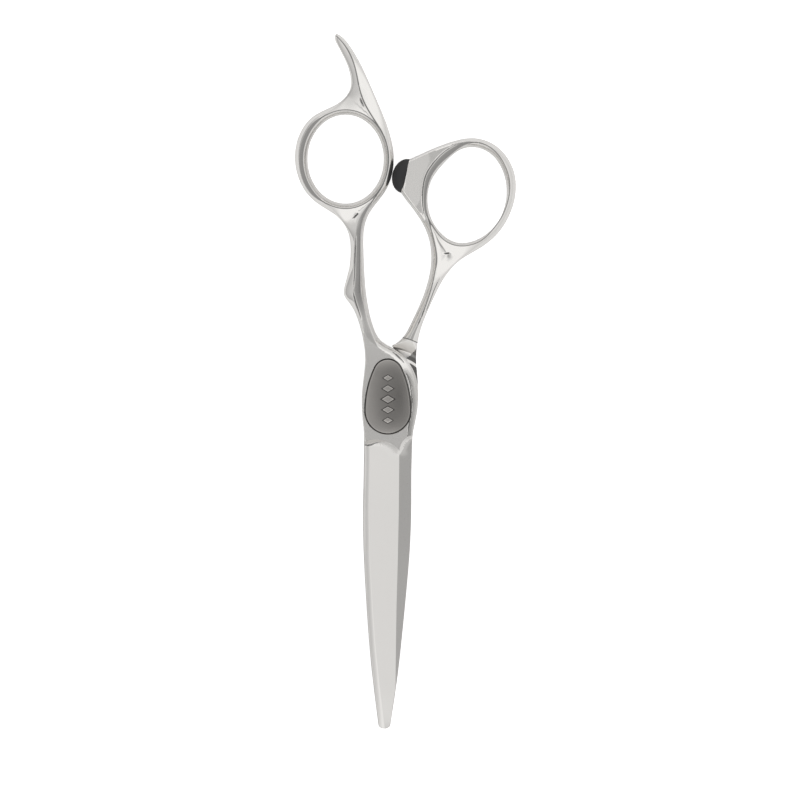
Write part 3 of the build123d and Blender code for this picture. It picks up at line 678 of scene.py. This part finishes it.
    def paint_outer_side(self, middles, finish_and_painted_light):
        """Ridges and flats darkened with painted shade; satin blade and body face, with painted shade on the
        scoop and the narrow facet and painted light on that facet near the heel and towards the tip; and
        painted shade on the finger half's rim and web.
        """
        x, y = middles.T
        past = self.past_heel(middles)
        which = self.blade_facet(middles)
        rise = self.face_edge(middles, self.outer.track.distance(middles))
        self.shade_ridges(middles, finish_and_painted_light)
        finish_and_painted_light[past > 0] = GROUND
        finish_and_painted_light[(past > SCOOP * 0.6) & (which == 0)] = BEVEL
        # satin where the facets run up to the shoulder, darkened with painted shade
        finish_and_painted_light[(past > 0) & (past < SCOOP * 0.6) & (which < 2)] = SCOOP_SATIN_SHADE
        # the narrow facet: darkened with painted shade, with painted light towards the tip and near the heel
        narrow = (past > 0) & (which == 2)
        finish_and_painted_light[narrow] = NARROW_SHADE + NARROW_TIP_LIGHT * smooth_step(-middles[narrow, 1:], 20, 60)
        finish_and_painted_light[narrow & (past < SCOOP * 0.45)] = NARROW_HEEL_LIGHT
        finish_and_painted_light[(past <= 0) & (rise < FACE_RISE)] = FACE_SATIN
        if self.up > 0:
            # painted shade on the rim, deeper lower down and beside the rim's line
            rim = (past <= 0) & (rise >= FACE_RISE) & (x > 2.4) & (y < 10)
            beside_line = 1 - smooth_step(self.grooves[-1].distance(middles[rim]), 0.2, 1.3)
            shade = smooth_step(-y[rim], -10, -6) * (RIM_SHADE + LINE_SHADE * beside_line)
            finish_and_painted_light[rim] = SHADE + shade[:, None]
            # painted shade on the web between the rest and the ring
            web_x, web_y, radius = REST_WEB_SHADE
            web = np.exp(-((np.hypot(x - web_x, y - web_y) / radius) ** 2))[:, None]
            finish_and_painted_light[:] = np.where(web > 0.05, np.maximum(finish_and_painted_light, SHADE + WEB_SHADE * web), finish_and_painted_light)

    def shade_ridges(self, middles, finish_and_painted_light):
        """Painted shade on the narrowest ridges and the flats, which catch little light: darker than the
        slopes beside them.
        """
        handle = middles[:, 1] > HANDLE_FROM
        for track in (self.ring, self.spine):
            d, index = track.nearest(middles)
            width = track.rows[index, 2]
            finish_and_painted_light[(d < RIDGE_W) & (width < WIDE_FLAT) & handle] = RIDGE_SHADE
            flat = (d < width) & (width >= WIDE_FLAT) & handle
            finish_and_painted_light[flat] = SHADE + FLAT_SHADE * smooth_step(middles[flat, 1:], 19, 26)


def hex_grid(low, high, step):
    rows = np.arange(low[1], high[1], step * 0.866)
    columns = np.arange(low[0], high[0], step)
    x, y = np.meshgrid(columns, rows)
    x = x + (np.arange(len(rows)) % 2)[:, None] * step / 2
    return np.column_stack([x.ravel(), y.ravel()])


def band_sides(rows, closed, extra):
    """Lines along both sides of a flat band, given by its middle line and half width, set out by extra."""
    ahead = np.roll(rows, -1, 0) if closed else np.vstack([rows[1:], rows[-1:]])
    back = np.roll(rows, 1, 0) if closed else np.vstack([rows[:1], rows[:-1]])
    along = (ahead - back)[:, :2]
    along /= np.hypot(*along.T)[:, None]
    across = np.column_stack([-along[:, 1], along[:, 0]]) * np.maximum(rows[:, 2:3] + extra, 0.02)
    return [(rows[:, :2] + across, closed), (rows[:, :2] - across, closed)]


def triangulate(lines, free, outer, holes):
    """Points and triangles inside the outer loop and outside the holes, following every line."""
    points, edges = [], []
    for line, closed in lines:
        first = len(points)
        points += [Vector(p) for p in line[:, :2]]
        edges += [(i, i + 1) for i in range(first, len(points) - 1)]
        if closed:
            edges.append((len(points) - 1, first))
    points += [Vector(p) for p in free]
    result = geometry.delaunay_2d_cdt(points, edges, [], 0, 1e-4, False)
    points, triangles = np.array([tuple(p) for p in result[0]]), np.array(result[2])
    middles = points[triangles].mean(1)
    wanted = inside(middles, outer)
    for hole in holes:
        wanted &= ~inside(middles, hole)
    triangles = triangles[wanted]
    used = np.unique(triangles)
    return points[used], np.searchsorted(used, triangles)


class Shell:
    """Turns one flat triangulation into a closed solid with two sides and pockets.

    Each side is (height function, pockets, facing); heights run from base along up. The optional paint
    function corrects corner normals and finish values of a side's triangles; those values also carry painted
    shade and light.
    """

    STEP = 0.03  # for slopes

    def __init__(self, points, triangles, sides, base, up, paint=None):
        self.points, self.triangles, self.middles = points, triangles, points[triangles].mean(1)
        self.sides, self.base, self.up, self.paint = sides, base, up, paint
        self.verts, self.faces, self.normals, self.finish_and_painted_light = [], [], [], []

    def slope_normals(self, height, xy, facing):
        dx = height(xy + [self.STEP, 0]) - height(xy - [self.STEP, 0])
        dy = height(xy + [0, self.STEP]) - height(xy - [0, self.STEP])
        normal = np.column_stack([-dx, -dy, np.full(len(xy), 2 * self.STEP * self.up)]) * facing
        return normal / np.linalg.norm(normal, axis=1)[:, None]

    def add_side(self, height, pockets, facing):
        """Vertices and triangles of one side; returns the level of each triangle and the vertex lookup."""
        level = np.zeros(len(self.triangles), int)
        for number, (loop, floor) in enumerate(pockets, 1):
            level[inside(self.middles, loop)] = number
        main_z = height(self.points)
        lookup = {}
        for triangle, where in zip(self.triangles, level):
            for point in triangle:
                if (point, where) not in lookup:
                    lookup[(point, where)] = len(self.verts)
                    z = pockets[where - 1][1] if where else main_z[point]
                    x, y = self.points[point]
                    self.verts.append((x * MM, y * MM, (self.base + self.up * z) * MM))
        corners = self.slope_normals(height, self.points, facing)[self.triangles]
        finish_and_painted_light = np.zeros((len(level), 3))
        if self.paint:
            self.paint(self, facing, corners, finish_and_painted_light)
        corners[level > 0] = (0, 0, facing * self.up)
        order = 1 if facing * self.up > 0 else -1
        # each corner's finish value, which also carries painted shade and light
        for triangle, where, normal, brushed in zip(self.triangles, level, corners, finish_and_painted_light):
            self.faces.append([lookup[(p, where)] for p in triangle][::order])
            self.normals.extend(normal[::order])
            self.finish_and_painted_light.extend(brushed)
        return level, lookup

    def find_walls(self, sides):
        """Upright faces round the outlines and bores and down into the pockets.

        Each is two points of the plan, and the vertices at its lower and at its upper edge.
        """
        owners = {}
        for number, triangle in enumerate(self.triangles):
            for a, b in zip(triangle, np.roll(triangle, -1)):
                owners.setdefault((min(a, b), max(a, b)), []).append((number, a, b))
        walls = []
        for users in owners.values():
            number, a, b = users[0]
            if len(users) == 1:
                (out_level, out_at), (in_level, in_at) = sides
                low = in_at[(a, in_level[number])], in_at[(b, in_level[number])]
                high = out_at[(a, out_level[number])], out_at[(b, out_level[number])]
                walls.append((a, b, low, high))
                continue
            other = users[1][0]
            for (level, at), facing in zip(sides, (1, -1)):
                if level[number] == level[other]:
                    continue
                mine = at[(a, level[number])], at[(b, level[number])]
                theirs = at[(a, level[other])], at[(b, level[other])]
                pair = (theirs, mine) if facing > 0 else (mine, theirs)
                walls.append((a, b, *pair))
        return walls

    def outwards(self, a, b):
        """Level direction away from the wall over two points."""
        along = self.points[b] - self.points[a]
        return np.array([along[1], -along[0], 0]) / max(np.hypot(*along), 1e-9)

    def add_walls(self, walls):
        """The walls' faces, shaded smoothly round gentle bends."""
        facing = {}
        for a, b, low, high in walls:
            for corner in (*low, *high):
                facing.setdefault(corner, []).append(self.outwards(a, b))
        for a, b, low, high in walls:
            ring = [low[0], low[1], high[1], high[0]][:: self.up]
            if len(set(ring)) < 3:
                continue
            self.faces.append(ring)
            for corner in ring:
                near = [n for n in facing[corner] if n @ self.outwards(a, b) > 0.8]
                mean = np.sum(near, axis=0)
                self.normals.append(mean / max(np.linalg.norm(mean), 1e-9))
                self.finish_and_painted_light.append(WALL)

    def make(self, name):
        sides = [self.add_side(*side) for side in self.sides]
        self.add_walls(self.find_walls(sides))
        mesh = bpy.data.meshes.new(name)
        mesh.from_pydata(self.verts, [], self.faces)
        # the per-corner finish values, with their painted shade and light, for the shaders
        finish_and_painted_light = mesh.attributes.new("finish_and_painted_light", "FLOAT", "CORNER")
        finish_and_painted_light.data.foreach_set("value", np.array(self.finish_and_painted_light, np.float32))
        mesh.normals_split_custom_set([tuple(n) for n in self.normals])
        piece = bpy.data.objects.new(name, mesh)
        bpy.context.scene.collection.objects.link(piece)
        return piece


# ============================================================ shapes used by both
BOSS = [(5.15, 59.5), (3.05, 51.25)]  # the end of the thumb ring's boss, where the rubber stop sits
BOSS_TRACK = Track(np.linspace(*BOSS, 80), closed=False)
BOSS_SIDES = [  # the outline's run on both sides of the boss
    Track(spline([(5.15, 59.5), (10.5, 61.95), (15.6, 63.85), (20.2, 64.7)], FINE), closed=False),
    Track(spline([(3.05, 51.25), (5.2, 48.3), (7.9, 44.5), (9.85, 40.0)], FINE), closed=False),
]
BOSS_CORNERS = [  # of the flat on the boss
    (4.9, 58.95), (10.6, 61.5), (15.6, 63.35), (18.4, 63.8), (14.8, 60.9), (11.5, 57.9), (9.6, 54.6),
    (8.9, 51.2), (9.0, 47.6), (8.5, 45.2), (5.7, 48.6), (3.6, 51.5),
]
BOSS_ENDS = BOSS_CORNERS[1:] + BOSS_CORNERS[:1]
BOSS_SEGMENTS = [np.linspace(a, b, 60)[:-1] for a, b in zip(BOSS_CORNERS, BOSS_ENDS)]
BOSS_FLAT = Track(np.vstack(BOSS_SEGMENTS), closed=True)
BOSS_REACH = 9  # the boss's own sides shape the surface this near its end
STUD_BORE_REACH = 4.5  # more than the depth of the bore for the stop's stud
BOSS_TILT, BOSS_TILT_REACH = 0.045, 5  # the boss falls towards its end, per mm, over its last stretch
# edge of the flat on the finger half's body
FACE_POINTS = [
    (-5.75, 17.1), (-5.3, 16.0), (-4.2, 14.8), (-2.4, 13.4), (-0.7, 12.3), (1.2, 10.9), (2.3, 9.4),
    (3.6, 7.9), (4.6, 6.6), (5.3, 5.1), (5.8, 2.6), (5.9, 0.15), (5.7, -3.5), (5.2, -8.4),
]
FACE = Track(spline(FACE_POINTS, FINE), closed=False)
FACE_LOOP = np.vstack([spline(FACE_POINTS, 0.3), [(5.4, -16), (-9, -16), (-9, 17.6)]])
THUMB_RING = [
    (22.3, 63.5, 0.15), (18.7, 63.35, 0.4), (14.85, 61.2, 0.75), (11.6, 58.1, 0.7), (9.65, 54.8, 0.62),
    (8.9, 51.4, 0.52), (8.85, 48.3, 0.42), (9.5, 45.6, 0.26), (11.3, 42.4, 0.12), (13.5, 39.8, 0.08),
    (16.4, 38.4, 0.08), (19.4, 38.35, 0.08), (22.9, 39.7, 0.08), (25.4, 42.1, 0.08), (27.6, 45.1, 0.08),
    (29.05, 48.5, 0.08), (29.7, 51.8, 0.08), (29.6, 54.6, 0.08), (28.2, 58.6, 0.08), (25.6, 61.9, 0.1),
]


def on_boss_end(xy):
    """Which outline points lie between the corners of the boss's end, where the stud's bore breaks it.

    Without them the outline runs straight from corner to corner.
    """
    start, end = np.array(BOSS)
    along = end - start
    across = np.array([-along[1], along[0]]) / np.hypot(*along)
    off = (xy - start) @ across
    share = (xy - start) @ along / (along @ along)
    return (share > 0.02) & (share < 0.98) & (np.abs(off) < STUD_BORE_REACH)


def finger_ring():
    """The flat round the ring finger's oval hole: narrow, broader on its far left side."""
    middle_x, middle_y, half_w, half_l = -10.5, 59.5, 9.3, 10.85
    rows = []
    for turn in np.radians(np.arange(0, 360, 10)):
        left = smooth_step(math.cos(turn), -0.35, -0.9)
        offset, width = 1.25 + 0.38 * left, 0.10 + 0.45 * left
        x = middle_x + (half_w + offset) * math.cos(turn)
        y = middle_y + (half_l + offset) * math.sin(turn)
        rows.append((x, y, width))
    return rows


def loops_round_pivot(node, height):
    loops = section_loops(node, height)
    return [p for p in loops if inside(np.zeros((1, 2)), p)[0]]


def place(piece, body, node):
    """Puts a rebuilt piece on its body, where the CAD node was."""
    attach(piece, body)
    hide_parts(node)
    return piece


PLATE_X = -0.15  # middle line of the cover plate, with its pins and its lozenges
PIN_YS, PIN_R = (7.4, -6.25), 0.6
WASHER_POCKET = (circle(0, 0, 4.6), 0.22)  # loop and depth from the mate plane, the same in both halves


def pin_holes(radius, floor):
    return [(circle(PLATE_X, y, radius, 0.3), floor) for y in PIN_YS]


def build_finger_half():
    half = Half("finger_half", 1, FINGER_SPINE, finger_ring(), FINGER_DISHES, FINGER_GROOVES)
    seat = Outline(loops_round_pivot("finger_half", MATE + 2.8)[1]).coarse
    head = clean(loops_round_pivot("finger_half", MATE + 1.7)[1])
    out_pockets = [(seat, 2.2), (head, 1.2)] + pin_holes(PIN_R, 1.0)
    bolt_hole = circle(0, 0, 2.52)
    piece = half.build("finger_blade_forging", out_pockets, [WASHER_POCKET], bolt_hole)
    return place(piece, "finger_side", "finger_half")


def build_thumb_half():
    half = Half("thumb_half", -1, THUMB_SPINE, THUMB_RING, THUMB_DISHES, THUMB_GROOVES)
    bearing_pocket = (circle(0, 0, 4.9), 1.5)
    bush_hole = circle(0, 0, 3.31)
    piece = half.build("thumb_blade_forging", [bearing_pocket], [WASHER_POCKET], bush_hole)
    return place(piece, "thumb_side", "thumb_half")


# ============================================================ cover plate
# middle x, middle y and half length of each raised lozenge
LOZENGES = [(PLATE_X, 0.7 + step * 2.6, 1.75 - 0.22 * abs(step)) for step in range(-2, 3)]
LOZENGE_RATIO = 0.6  # width to length
LOZENGE_NARROW = 0.514  # distance from the middle to a side, for a half length of 1
LOZENGE_RISE, LOZENGE_SLOPE = 0.12, 0.2
LOZENGE_LINE, LOZENGE_TOP = 1.14, 0.82  # the line of painted shade round each, and the edge of its top with the painted highlight, as shares of its size
CAP_BASE, CAP_CROWN, CAP_HIGHEST = 6.62, 1.53, 1.65
CAP_MIDDLE_Y, CAP_HALF_L, CAP_HALF_W = 1.35, 9.3, 5.75
CAP_ROLL = 0.55  # width of the rolled rim
CAP_ROWS = 0.02, 0.06, 0.12, 0.2, 0.3, 0.42, CAP_ROLL, 0.7


def lozenge_reach(xy, x, y, wide):
    """0 in the middle of a lozenge, 1 on its outline."""
    return np.abs(xy[:, 0] - x) / wide + np.abs(xy[:, 1] - y) / (wide * LOZENGE_RATIO)


def cap_height(edge, xy):
    across, along = (xy[:, 0] - PLATE_X) / CAP_HALF_W, (xy[:, 1] - CAP_MIDDLE_Y) / CAP_HALF_L
    dome = CAP_CROWN - 0.50 * across**2 - 0.40 * along**2 - 0.28 * np.abs(along) ** 5
    inwards = np.clip(edge.track.distance(xy) / CAP_ROLL, 0, 1)
    dome -= 0.42 * (1 - np.sqrt(1 - (1 - inwards) ** 2))
    for x, y, wide in LOZENGES:
        side = wide * LOZENGE_NARROW
        reach = lozenge_reach(xy, x, y, wide) * side
        dome += LOZENGE_RISE * smooth_step(reach, side, side - LOZENGE_SLOPE)
    return np.minimum(dome, CAP_HIGHEST)


def lozenge_lines():
    """Nested outlines on each lozenge, for the mesh to follow."""
    lines = []
    side = np.linspace(0, 1, 8)[:-1, None]
    for x, y, wide in LOZENGES:
        for grow in (LOZENGE_LINE, 1.0, 0.92, LOZENGE_TOP, 0.7):
            corners = np.array([(-1, 0), (0, -LOZENGE_RATIO), (1, 0), (0, LOZENGE_RATIO)]) * wide * grow
            ends = np.roll(corners, -1, 0)
            loop = np.vstack([a + (b - a) * side for a, b in zip(corners, ends)])
            lines.append((loop + [x, y], True))
    return lines


def cap_free_points(edge, lines):
    grid = hex_grid((-6.5, -9), (6.5, 11.5), 0.36)
    grid = grid[inside(grid, edge.coarse)]
    grid = grid[edge.track.distance(grid) > 0.85]
    for line, closed in lines:
        grid = grid[Track(line, closed).distance(grid) > 0.12]
    return np.vstack([*[edge.inset(depth) for depth in CAP_ROWS], grid])


def build_cap():
    """Domed egg with a rolled rim and a row of raised lozenges, on a flat underside with two pin holes."""
    edge = Outline(loops_round_pivot("cover_plate", CAP_BASE + 0.4)[0])
    lozenges = lozenge_lines()
    free = cap_free_points(edge, lozenges)
    pins = pin_holes(PIN_R + 0.01, 0.55)
    lines = [(edge.coarse, True)] + lozenges + [(loop, True) for loop, floor in pins]
    points, triangles = triangulate(lines, free, edge.coarse, [])
    sides = [(lambda xy: cap_height(edge, xy), [], 1), (lambda xy: np.zeros(len(xy)), pins, -1)]

    def paint(shell, facing, corners, finish_and_painted_light):
        """1 on the rim, painted dark as shade, wider on the right; 0.75 on the line of painted shade round a
        lozenge; 0.5 on its top, a painted highlight
        """
        right = smooth_step(shell.middles[:, 0], -2, 4)
        # painted shade on the rim, wider on the right
        finish_and_painted_light[edge.track.distance(shell.middles) < 0.28 + 0.16 * right] = 1
        for lozenge in LOZENGES:
            reach = lozenge_reach(shell.middles, *lozenge)
            # painted shade on the line round each lozenge, a painted highlight on its top
            finish_and_painted_light[reach < LOZENGE_LINE] = 0.75
            finish_and_painted_light[reach < LOZENGE_TOP] = 0.5

    cap = Shell(points, triangles, sides, CAP_BASE, 1, paint).make("domed_cap")
    return place(cap, "finger_side", "cover_plate")


finger_piece = build_finger_half()
cap_piece = build_cap()
thumb_piece = build_thumb_half()


# ============================================================ materials
def nodes_of(material):
    material.use_nodes = True
    tree = material.node_tree
    return tree, tree.nodes["Principled BSDF"]


def add(tree, kind, inputs=None, **settings):
    """A node with its settings; inputs are values, or sockets to link from."""
    node = tree.nodes.new("ShaderNode" + kind)
    for key, value in settings.items():
        setattr(node, key, value)
    for key, value in (inputs or {}).items():
        if isinstance(value, bpy.types.NodeSocket):
            tree.links.new(value, node.inputs[key])
        else:
            node.inputs[key].default_value = value
    return node


def grain(tree, stretch, scale, detail=3):
    """Noise in the part's own coordinates, drawn out along an axis by a small stretch value."""
    coords = add(tree, "TexCoord")
    mapping = add(tree, "Mapping", {"Vector": coords.outputs["Object"], "Scale": stretch})
    noise = {"Vector": mapping.outputs[0], "Scale": scale, "Detail": detail}
    return add(tree, "TexNoise", noise).outputs["Fac"]


def span(tree, value, low, high):
    """Maps 0..1 to low..high."""
    return add(tree, "MapRange", {"Value": value, "To Min": low, "To Max": high}).outputs[0]


def ramp(tree, value, rows, tint=(1, 1, 1)):
    """A tone for each value, straight between the (value, tone) rows."""
    node = add(tree, "ValToRGB", {"Fac": value})
    stops = node.color_ramp.elements
    while len(stops) < len(rows):
        stops.new(0.5)
    for stop, (position, tone) in zip(stops, rows):
        stop.position = position
        stop.color = (*(tone * share for share in tint), 1)
    return node.outputs[0]


def roughen(tree, shader, height, strength, distance):
    """Bumps the surface by a height texture."""
    bump = add(tree, "Bump", {"Height": height, "Strength": strength, "Distance": distance})
    tree.links.new(bump.outputs[0], shader.inputs["Normal"])


def maths(tree, operation, *values):
    return add(tree, "Math", dict(enumerate(values)), operation=operation).outputs[0]


GRAIN_DEPTH = 0.00002


def finish_material(name, colour, metallic, roughness, stretch, scale, bump, spread=0.05):
    """A surface whose roughness and height both follow one drawn-out grain."""
    material = bpy.data.materials.new(name)
    tree, shader = nodes_of(material)
    texture = grain(tree, stretch, scale)
    shader.inputs["Base Color"].default_value = (*colour, 1)
    shader.inputs["Metallic"].default_value = metallic
    tree.links.new(span(tree, texture, roughness - spread, roughness + spread), shader.inputs["Roughness"])
    roughen(tree, shader, texture, bump, GRAIN_DEPTH)
    return material


STEEL_TINT = (1, 0.98, 0.95)


def forged_steel():
    """Mirror-polished handles and ground blades and body; the finish value blends between the two and also
    picks a tone that holds painted shade and light.
    """
    material = bpy.data.materials.new("forged_steel")
    tree, shader = nodes_of(material)
    finish_and_painted_light = add(tree, "Attribute", attribute_name="finish_and_painted_light").outputs["Fac"]
    cloud = grain(tree, (1, 1, 1), 90)
    brushed = grain(tree, (0.02, 1, 1), 16000, 2)
    fine = grain(tree, (1, 0.05, 1), 9000, 2)
    polish = span(tree, cloud, 0.05, 0.12)
    ground = span(tree, brushed, 0.26, 0.36)
    tree.links.new(span(tree, finish_and_painted_light, polish, ground), shader.inputs["Roughness"])
    shader.inputs["Metallic"].default_value = 1
    # base colour from the same value, with its painted shade and light
    tree.links.new(ramp(tree, finish_and_painted_light, STEEL_TONES, STEEL_TINT), shader.inputs["Base Color"])
    roughen(tree, shader, span(tree, finish_and_painted_light, fine, brushed), span(tree, finish_and_painted_light, 0.03, 0.22), GRAIN_DEPTH)
    return material


CAP_TONES = [(0.0, 1.0), (0.5, 1.7), (0.75, 0.3), (1.0, 0.42)]  # (value, share of the plate's colour): painted highlight on the lozenges' tops, painted shade on the lines round them and on the rim


def cap_steel():
    """Dark bead-blasted plate with lozenges lit by a painted highlight, a black line of painted shade round
    each and a rim darkened with painted shade along its roll.
    """
    material = bpy.data.materials.new("cap_steel")
    tree, shader = nodes_of(material)
    speckle = grain(tree, (1, 1, 1), 5200, 4)
    blotch = grain(tree, (1, 1, 1), 240)
    zone = add(tree, "Attribute", attribute_name="finish_and_painted_light").outputs["Fac"]
    blotches = {"Fac": blotch, "Color1": (0.27, 0.26, 0.247, 1), "Color2": (0.335, 0.32, 0.305, 1)}
    dark = add(tree, "MixRGB", blotches).outputs[0]
    zones = {"Fac": 1, "Color1": dark, "Color2": ramp(tree, zone, CAP_TONES)}
    tone = add(tree, "MixRGB", zones, blend_type="MULTIPLY").outputs[0]
    tree.links.new(tone, shader.inputs["Base Color"])
    shader.inputs["Metallic"].default_value = 1
    shader.inputs["Roughness"].default_value = 0.2
    roughen(tree, shader, speckle, 0.2, 0.00003)
    return material


def rubber():
    material = finish_material("moulded_rubber", (0.012, 0.012, 0.013), 0, 0.45, (1, 1, 1), 2600, 0.5, 0.1)
    material.node_tree.nodes["Principled BSDF"].inputs["Specular IOR Level"].default_value = 0.4
    return material


ROUND = (1, 1, 1)
# material: frame nodes that wear it, colour, metallic, roughness, stretch and scale of the grain, bump
HARDWARE = {
    "pin_steel": (("cover_pins",), (0.62, 0.62, 0.61), 1, 0.25, ROUND, 5000, 0.15),
    "turned_bolt": (("pivot_bolt", "bumper_stud"), (0.66, 0.65, 0.63), 1, 0.22, (1, 1, 0.03), 9000, 0.2),
    "white_ptfe": (("glide_washer",), (0.86, 0.86, 0.83), 0, 0.5, ROUND, 1500, 0.2),
    "oiled_bronze": (("pivot_bush",), (0.62, 0.40, 0.20), 1, 0.34, (1, 1, 0.03), 7000, 0.25),
    "ground_race": (("inner_race", "outer_race"), (0.60, 0.60, 0.60), 1, 0.18, ROUND, 6000, 0.12),
    "stamped_brass": (("ball_cage",), (0.78, 0.60, 0.28), 1, 0.28, ROUND, 3000, 0.2),
    "lapped_ball": (("bearing_balls",), (0.72, 0.72, 0.73), 1, 0.06, ROUND, 4000, 0.03),
    "blued_spring": (("spring_washer",), (0.10, 0.13, 0.22), 1, 0.28, (0.1, 1, 1), 6000, 0.2),
    "turned_dial": (("tension_dial",), (0.58, 0.57, 0.55), 1, 0.26, (1, 1, 0.03), 8000, 0.25),
    "friction_nylon": (("lock_insert",), (0.10, 0.22, 0.55), 0, 0.5, ROUND, 2200, 0.3),
}


def dress(node, material):
    mesh = frame["nodes"][node].data
    mesh.materials.clear()
    mesh.materials.append(material)


forged = forged_steel()
for piece in (finger_piece, thumb_piece):
    piece.data.materials.append(forged)
cap_piece.data.materials.append(cap_steel())
dress("bumper", rubber())
for name, (wearers, colour, metallic, roughness, stretch, scale, bump) in HARDWARE.items():
    shared = finish_material(name, colour, metallic, roughness, stretch, scale, bump)
    for node in wearers:
        dress(node, shared)


# ============================================================ studio
VIEW_W = 0.196  # width of the picture on the floor
VIEW_CENTRE = (0.00282, 0.0005)
FLOOR_Z = -0.0003
OPENING_TILT, SPOT_TILT = 4, 10  # degrees the grey opening and the dark spot overhead lean to +X
# (degrees from the middle, brightness)
OPENING = [(0, 0.42), (9, 0.42), (15, 0.55), (22, 0.85), (30, 1.0)]
SPOT = [(0, 0.1), (1.5, 0.2), (3.5, 0.8), (5, 1.0)]
HORIZON = [(0, 1.0), (60, 1.0), (82, 0.72), (94, 0.72), (104, 1.0)]  # (degrees from straight up, brightness)
LEFT_DIM, LEFT_FROM, LEFT_TO = 0.66, -0.40, -0.80  # brightness at -X, and where it starts and is reached
STRENGTH, FLOOR_SIZE, FLOOR_GLOW, EYE_HEIGHT = 1.15, 3, 0.6, 0.8


def sky():
    """White tent with a soft grey opening overhead and a grey band at table height."""
    world = bpy.data.worlds.new("studio")
    bpy.context.scene.world = world
    world.use_nodes = True
    tree = world.node_tree
    coords = add(tree, "TexCoord").outputs["Generated"]
    glow = sky_ramp(tree, coords, 0, HORIZON)
    for tilt, table in ((OPENING_TILT, OPENING), (SPOT_TILT, SPOT)):
        glow = maths(tree, "MULTIPLY", glow, sky_ramp(tree, coords, math.radians(tilt), table))
    x = add(tree, "SeparateXYZ", {"Vector": coords}).outputs["X"]
    left = {"Value": x, "From Min": LEFT_FROM, "From Max": LEFT_TO, "To Min": 1.0, "To Max": LEFT_DIM}
    left = add(tree, "MapRange", left, interpolation_type="SMOOTHSTEP").outputs[0]
    glow = maths(tree, "MULTIPLY", glow, left)
    background = tree.nodes["Background"]
    tree.links.new(glow, background.inputs["Color"])
    background.inputs["Strength"].default_value = STRENGTH


def sky_ramp(tree, coords, tilt, table):
    """Brightness by angle from an axis that leans from straight up to +X by tilt."""
    axis = (math.sin(tilt), 0, math.cos(tilt))
    facing = add(tree, "VectorMath", {0: coords, 1: axis}, operation="DOT_PRODUCT").outputs["Value"]
    share = maths(tree, "DIVIDE", maths(tree, "ARCCOSINE", facing), math.pi)
    return ramp(tree, share, [(degrees / 180, value) for degrees, value in table])


def floor():
    """White paper that glows only to the camera, so that its light doesn't wash out the steel's edges."""
    bpy.ops.mesh.primitive_plane_add(size=FLOOR_SIZE, location=(0, 0, FLOOR_Z))
    plane = bpy.context.object
    plane.name = "studio_floor"
    paper = finish_material("white_paper", (0.93, 0.93, 0.93), 0, 0.9, ROUND, 400, 0.02)
    lit = paper.node_tree.nodes["Principled BSDF"].inputs
    lit["Emission Color"].default_value = (1, 1, 1, 1)
    seen = add(paper.node_tree, "LightPath").outputs["Is Camera Ray"]
    paper.node_tree.links.new(span(paper.node_tree, seen, 0.0, FLOOR_GLOW), lit["Emission Strength"])
    plane.data.materials.append(paper)


def camera():
    lens = bpy.data.cameras.new("overhead")
    lens.type = "ORTHO"
    lens.ortho_scale = VIEW_W
    eye = bpy.data.objects.new("overhead", lens)
    eye.location = (*VIEW_CENTRE, EYE_HEIGHT)
    bpy.context.scene.collection.objects.link(eye)
    bpy.context.scene.camera = eye


sky()
floor()
camera()
bpy.context.scene.view_settings.view_transform = "Standard"
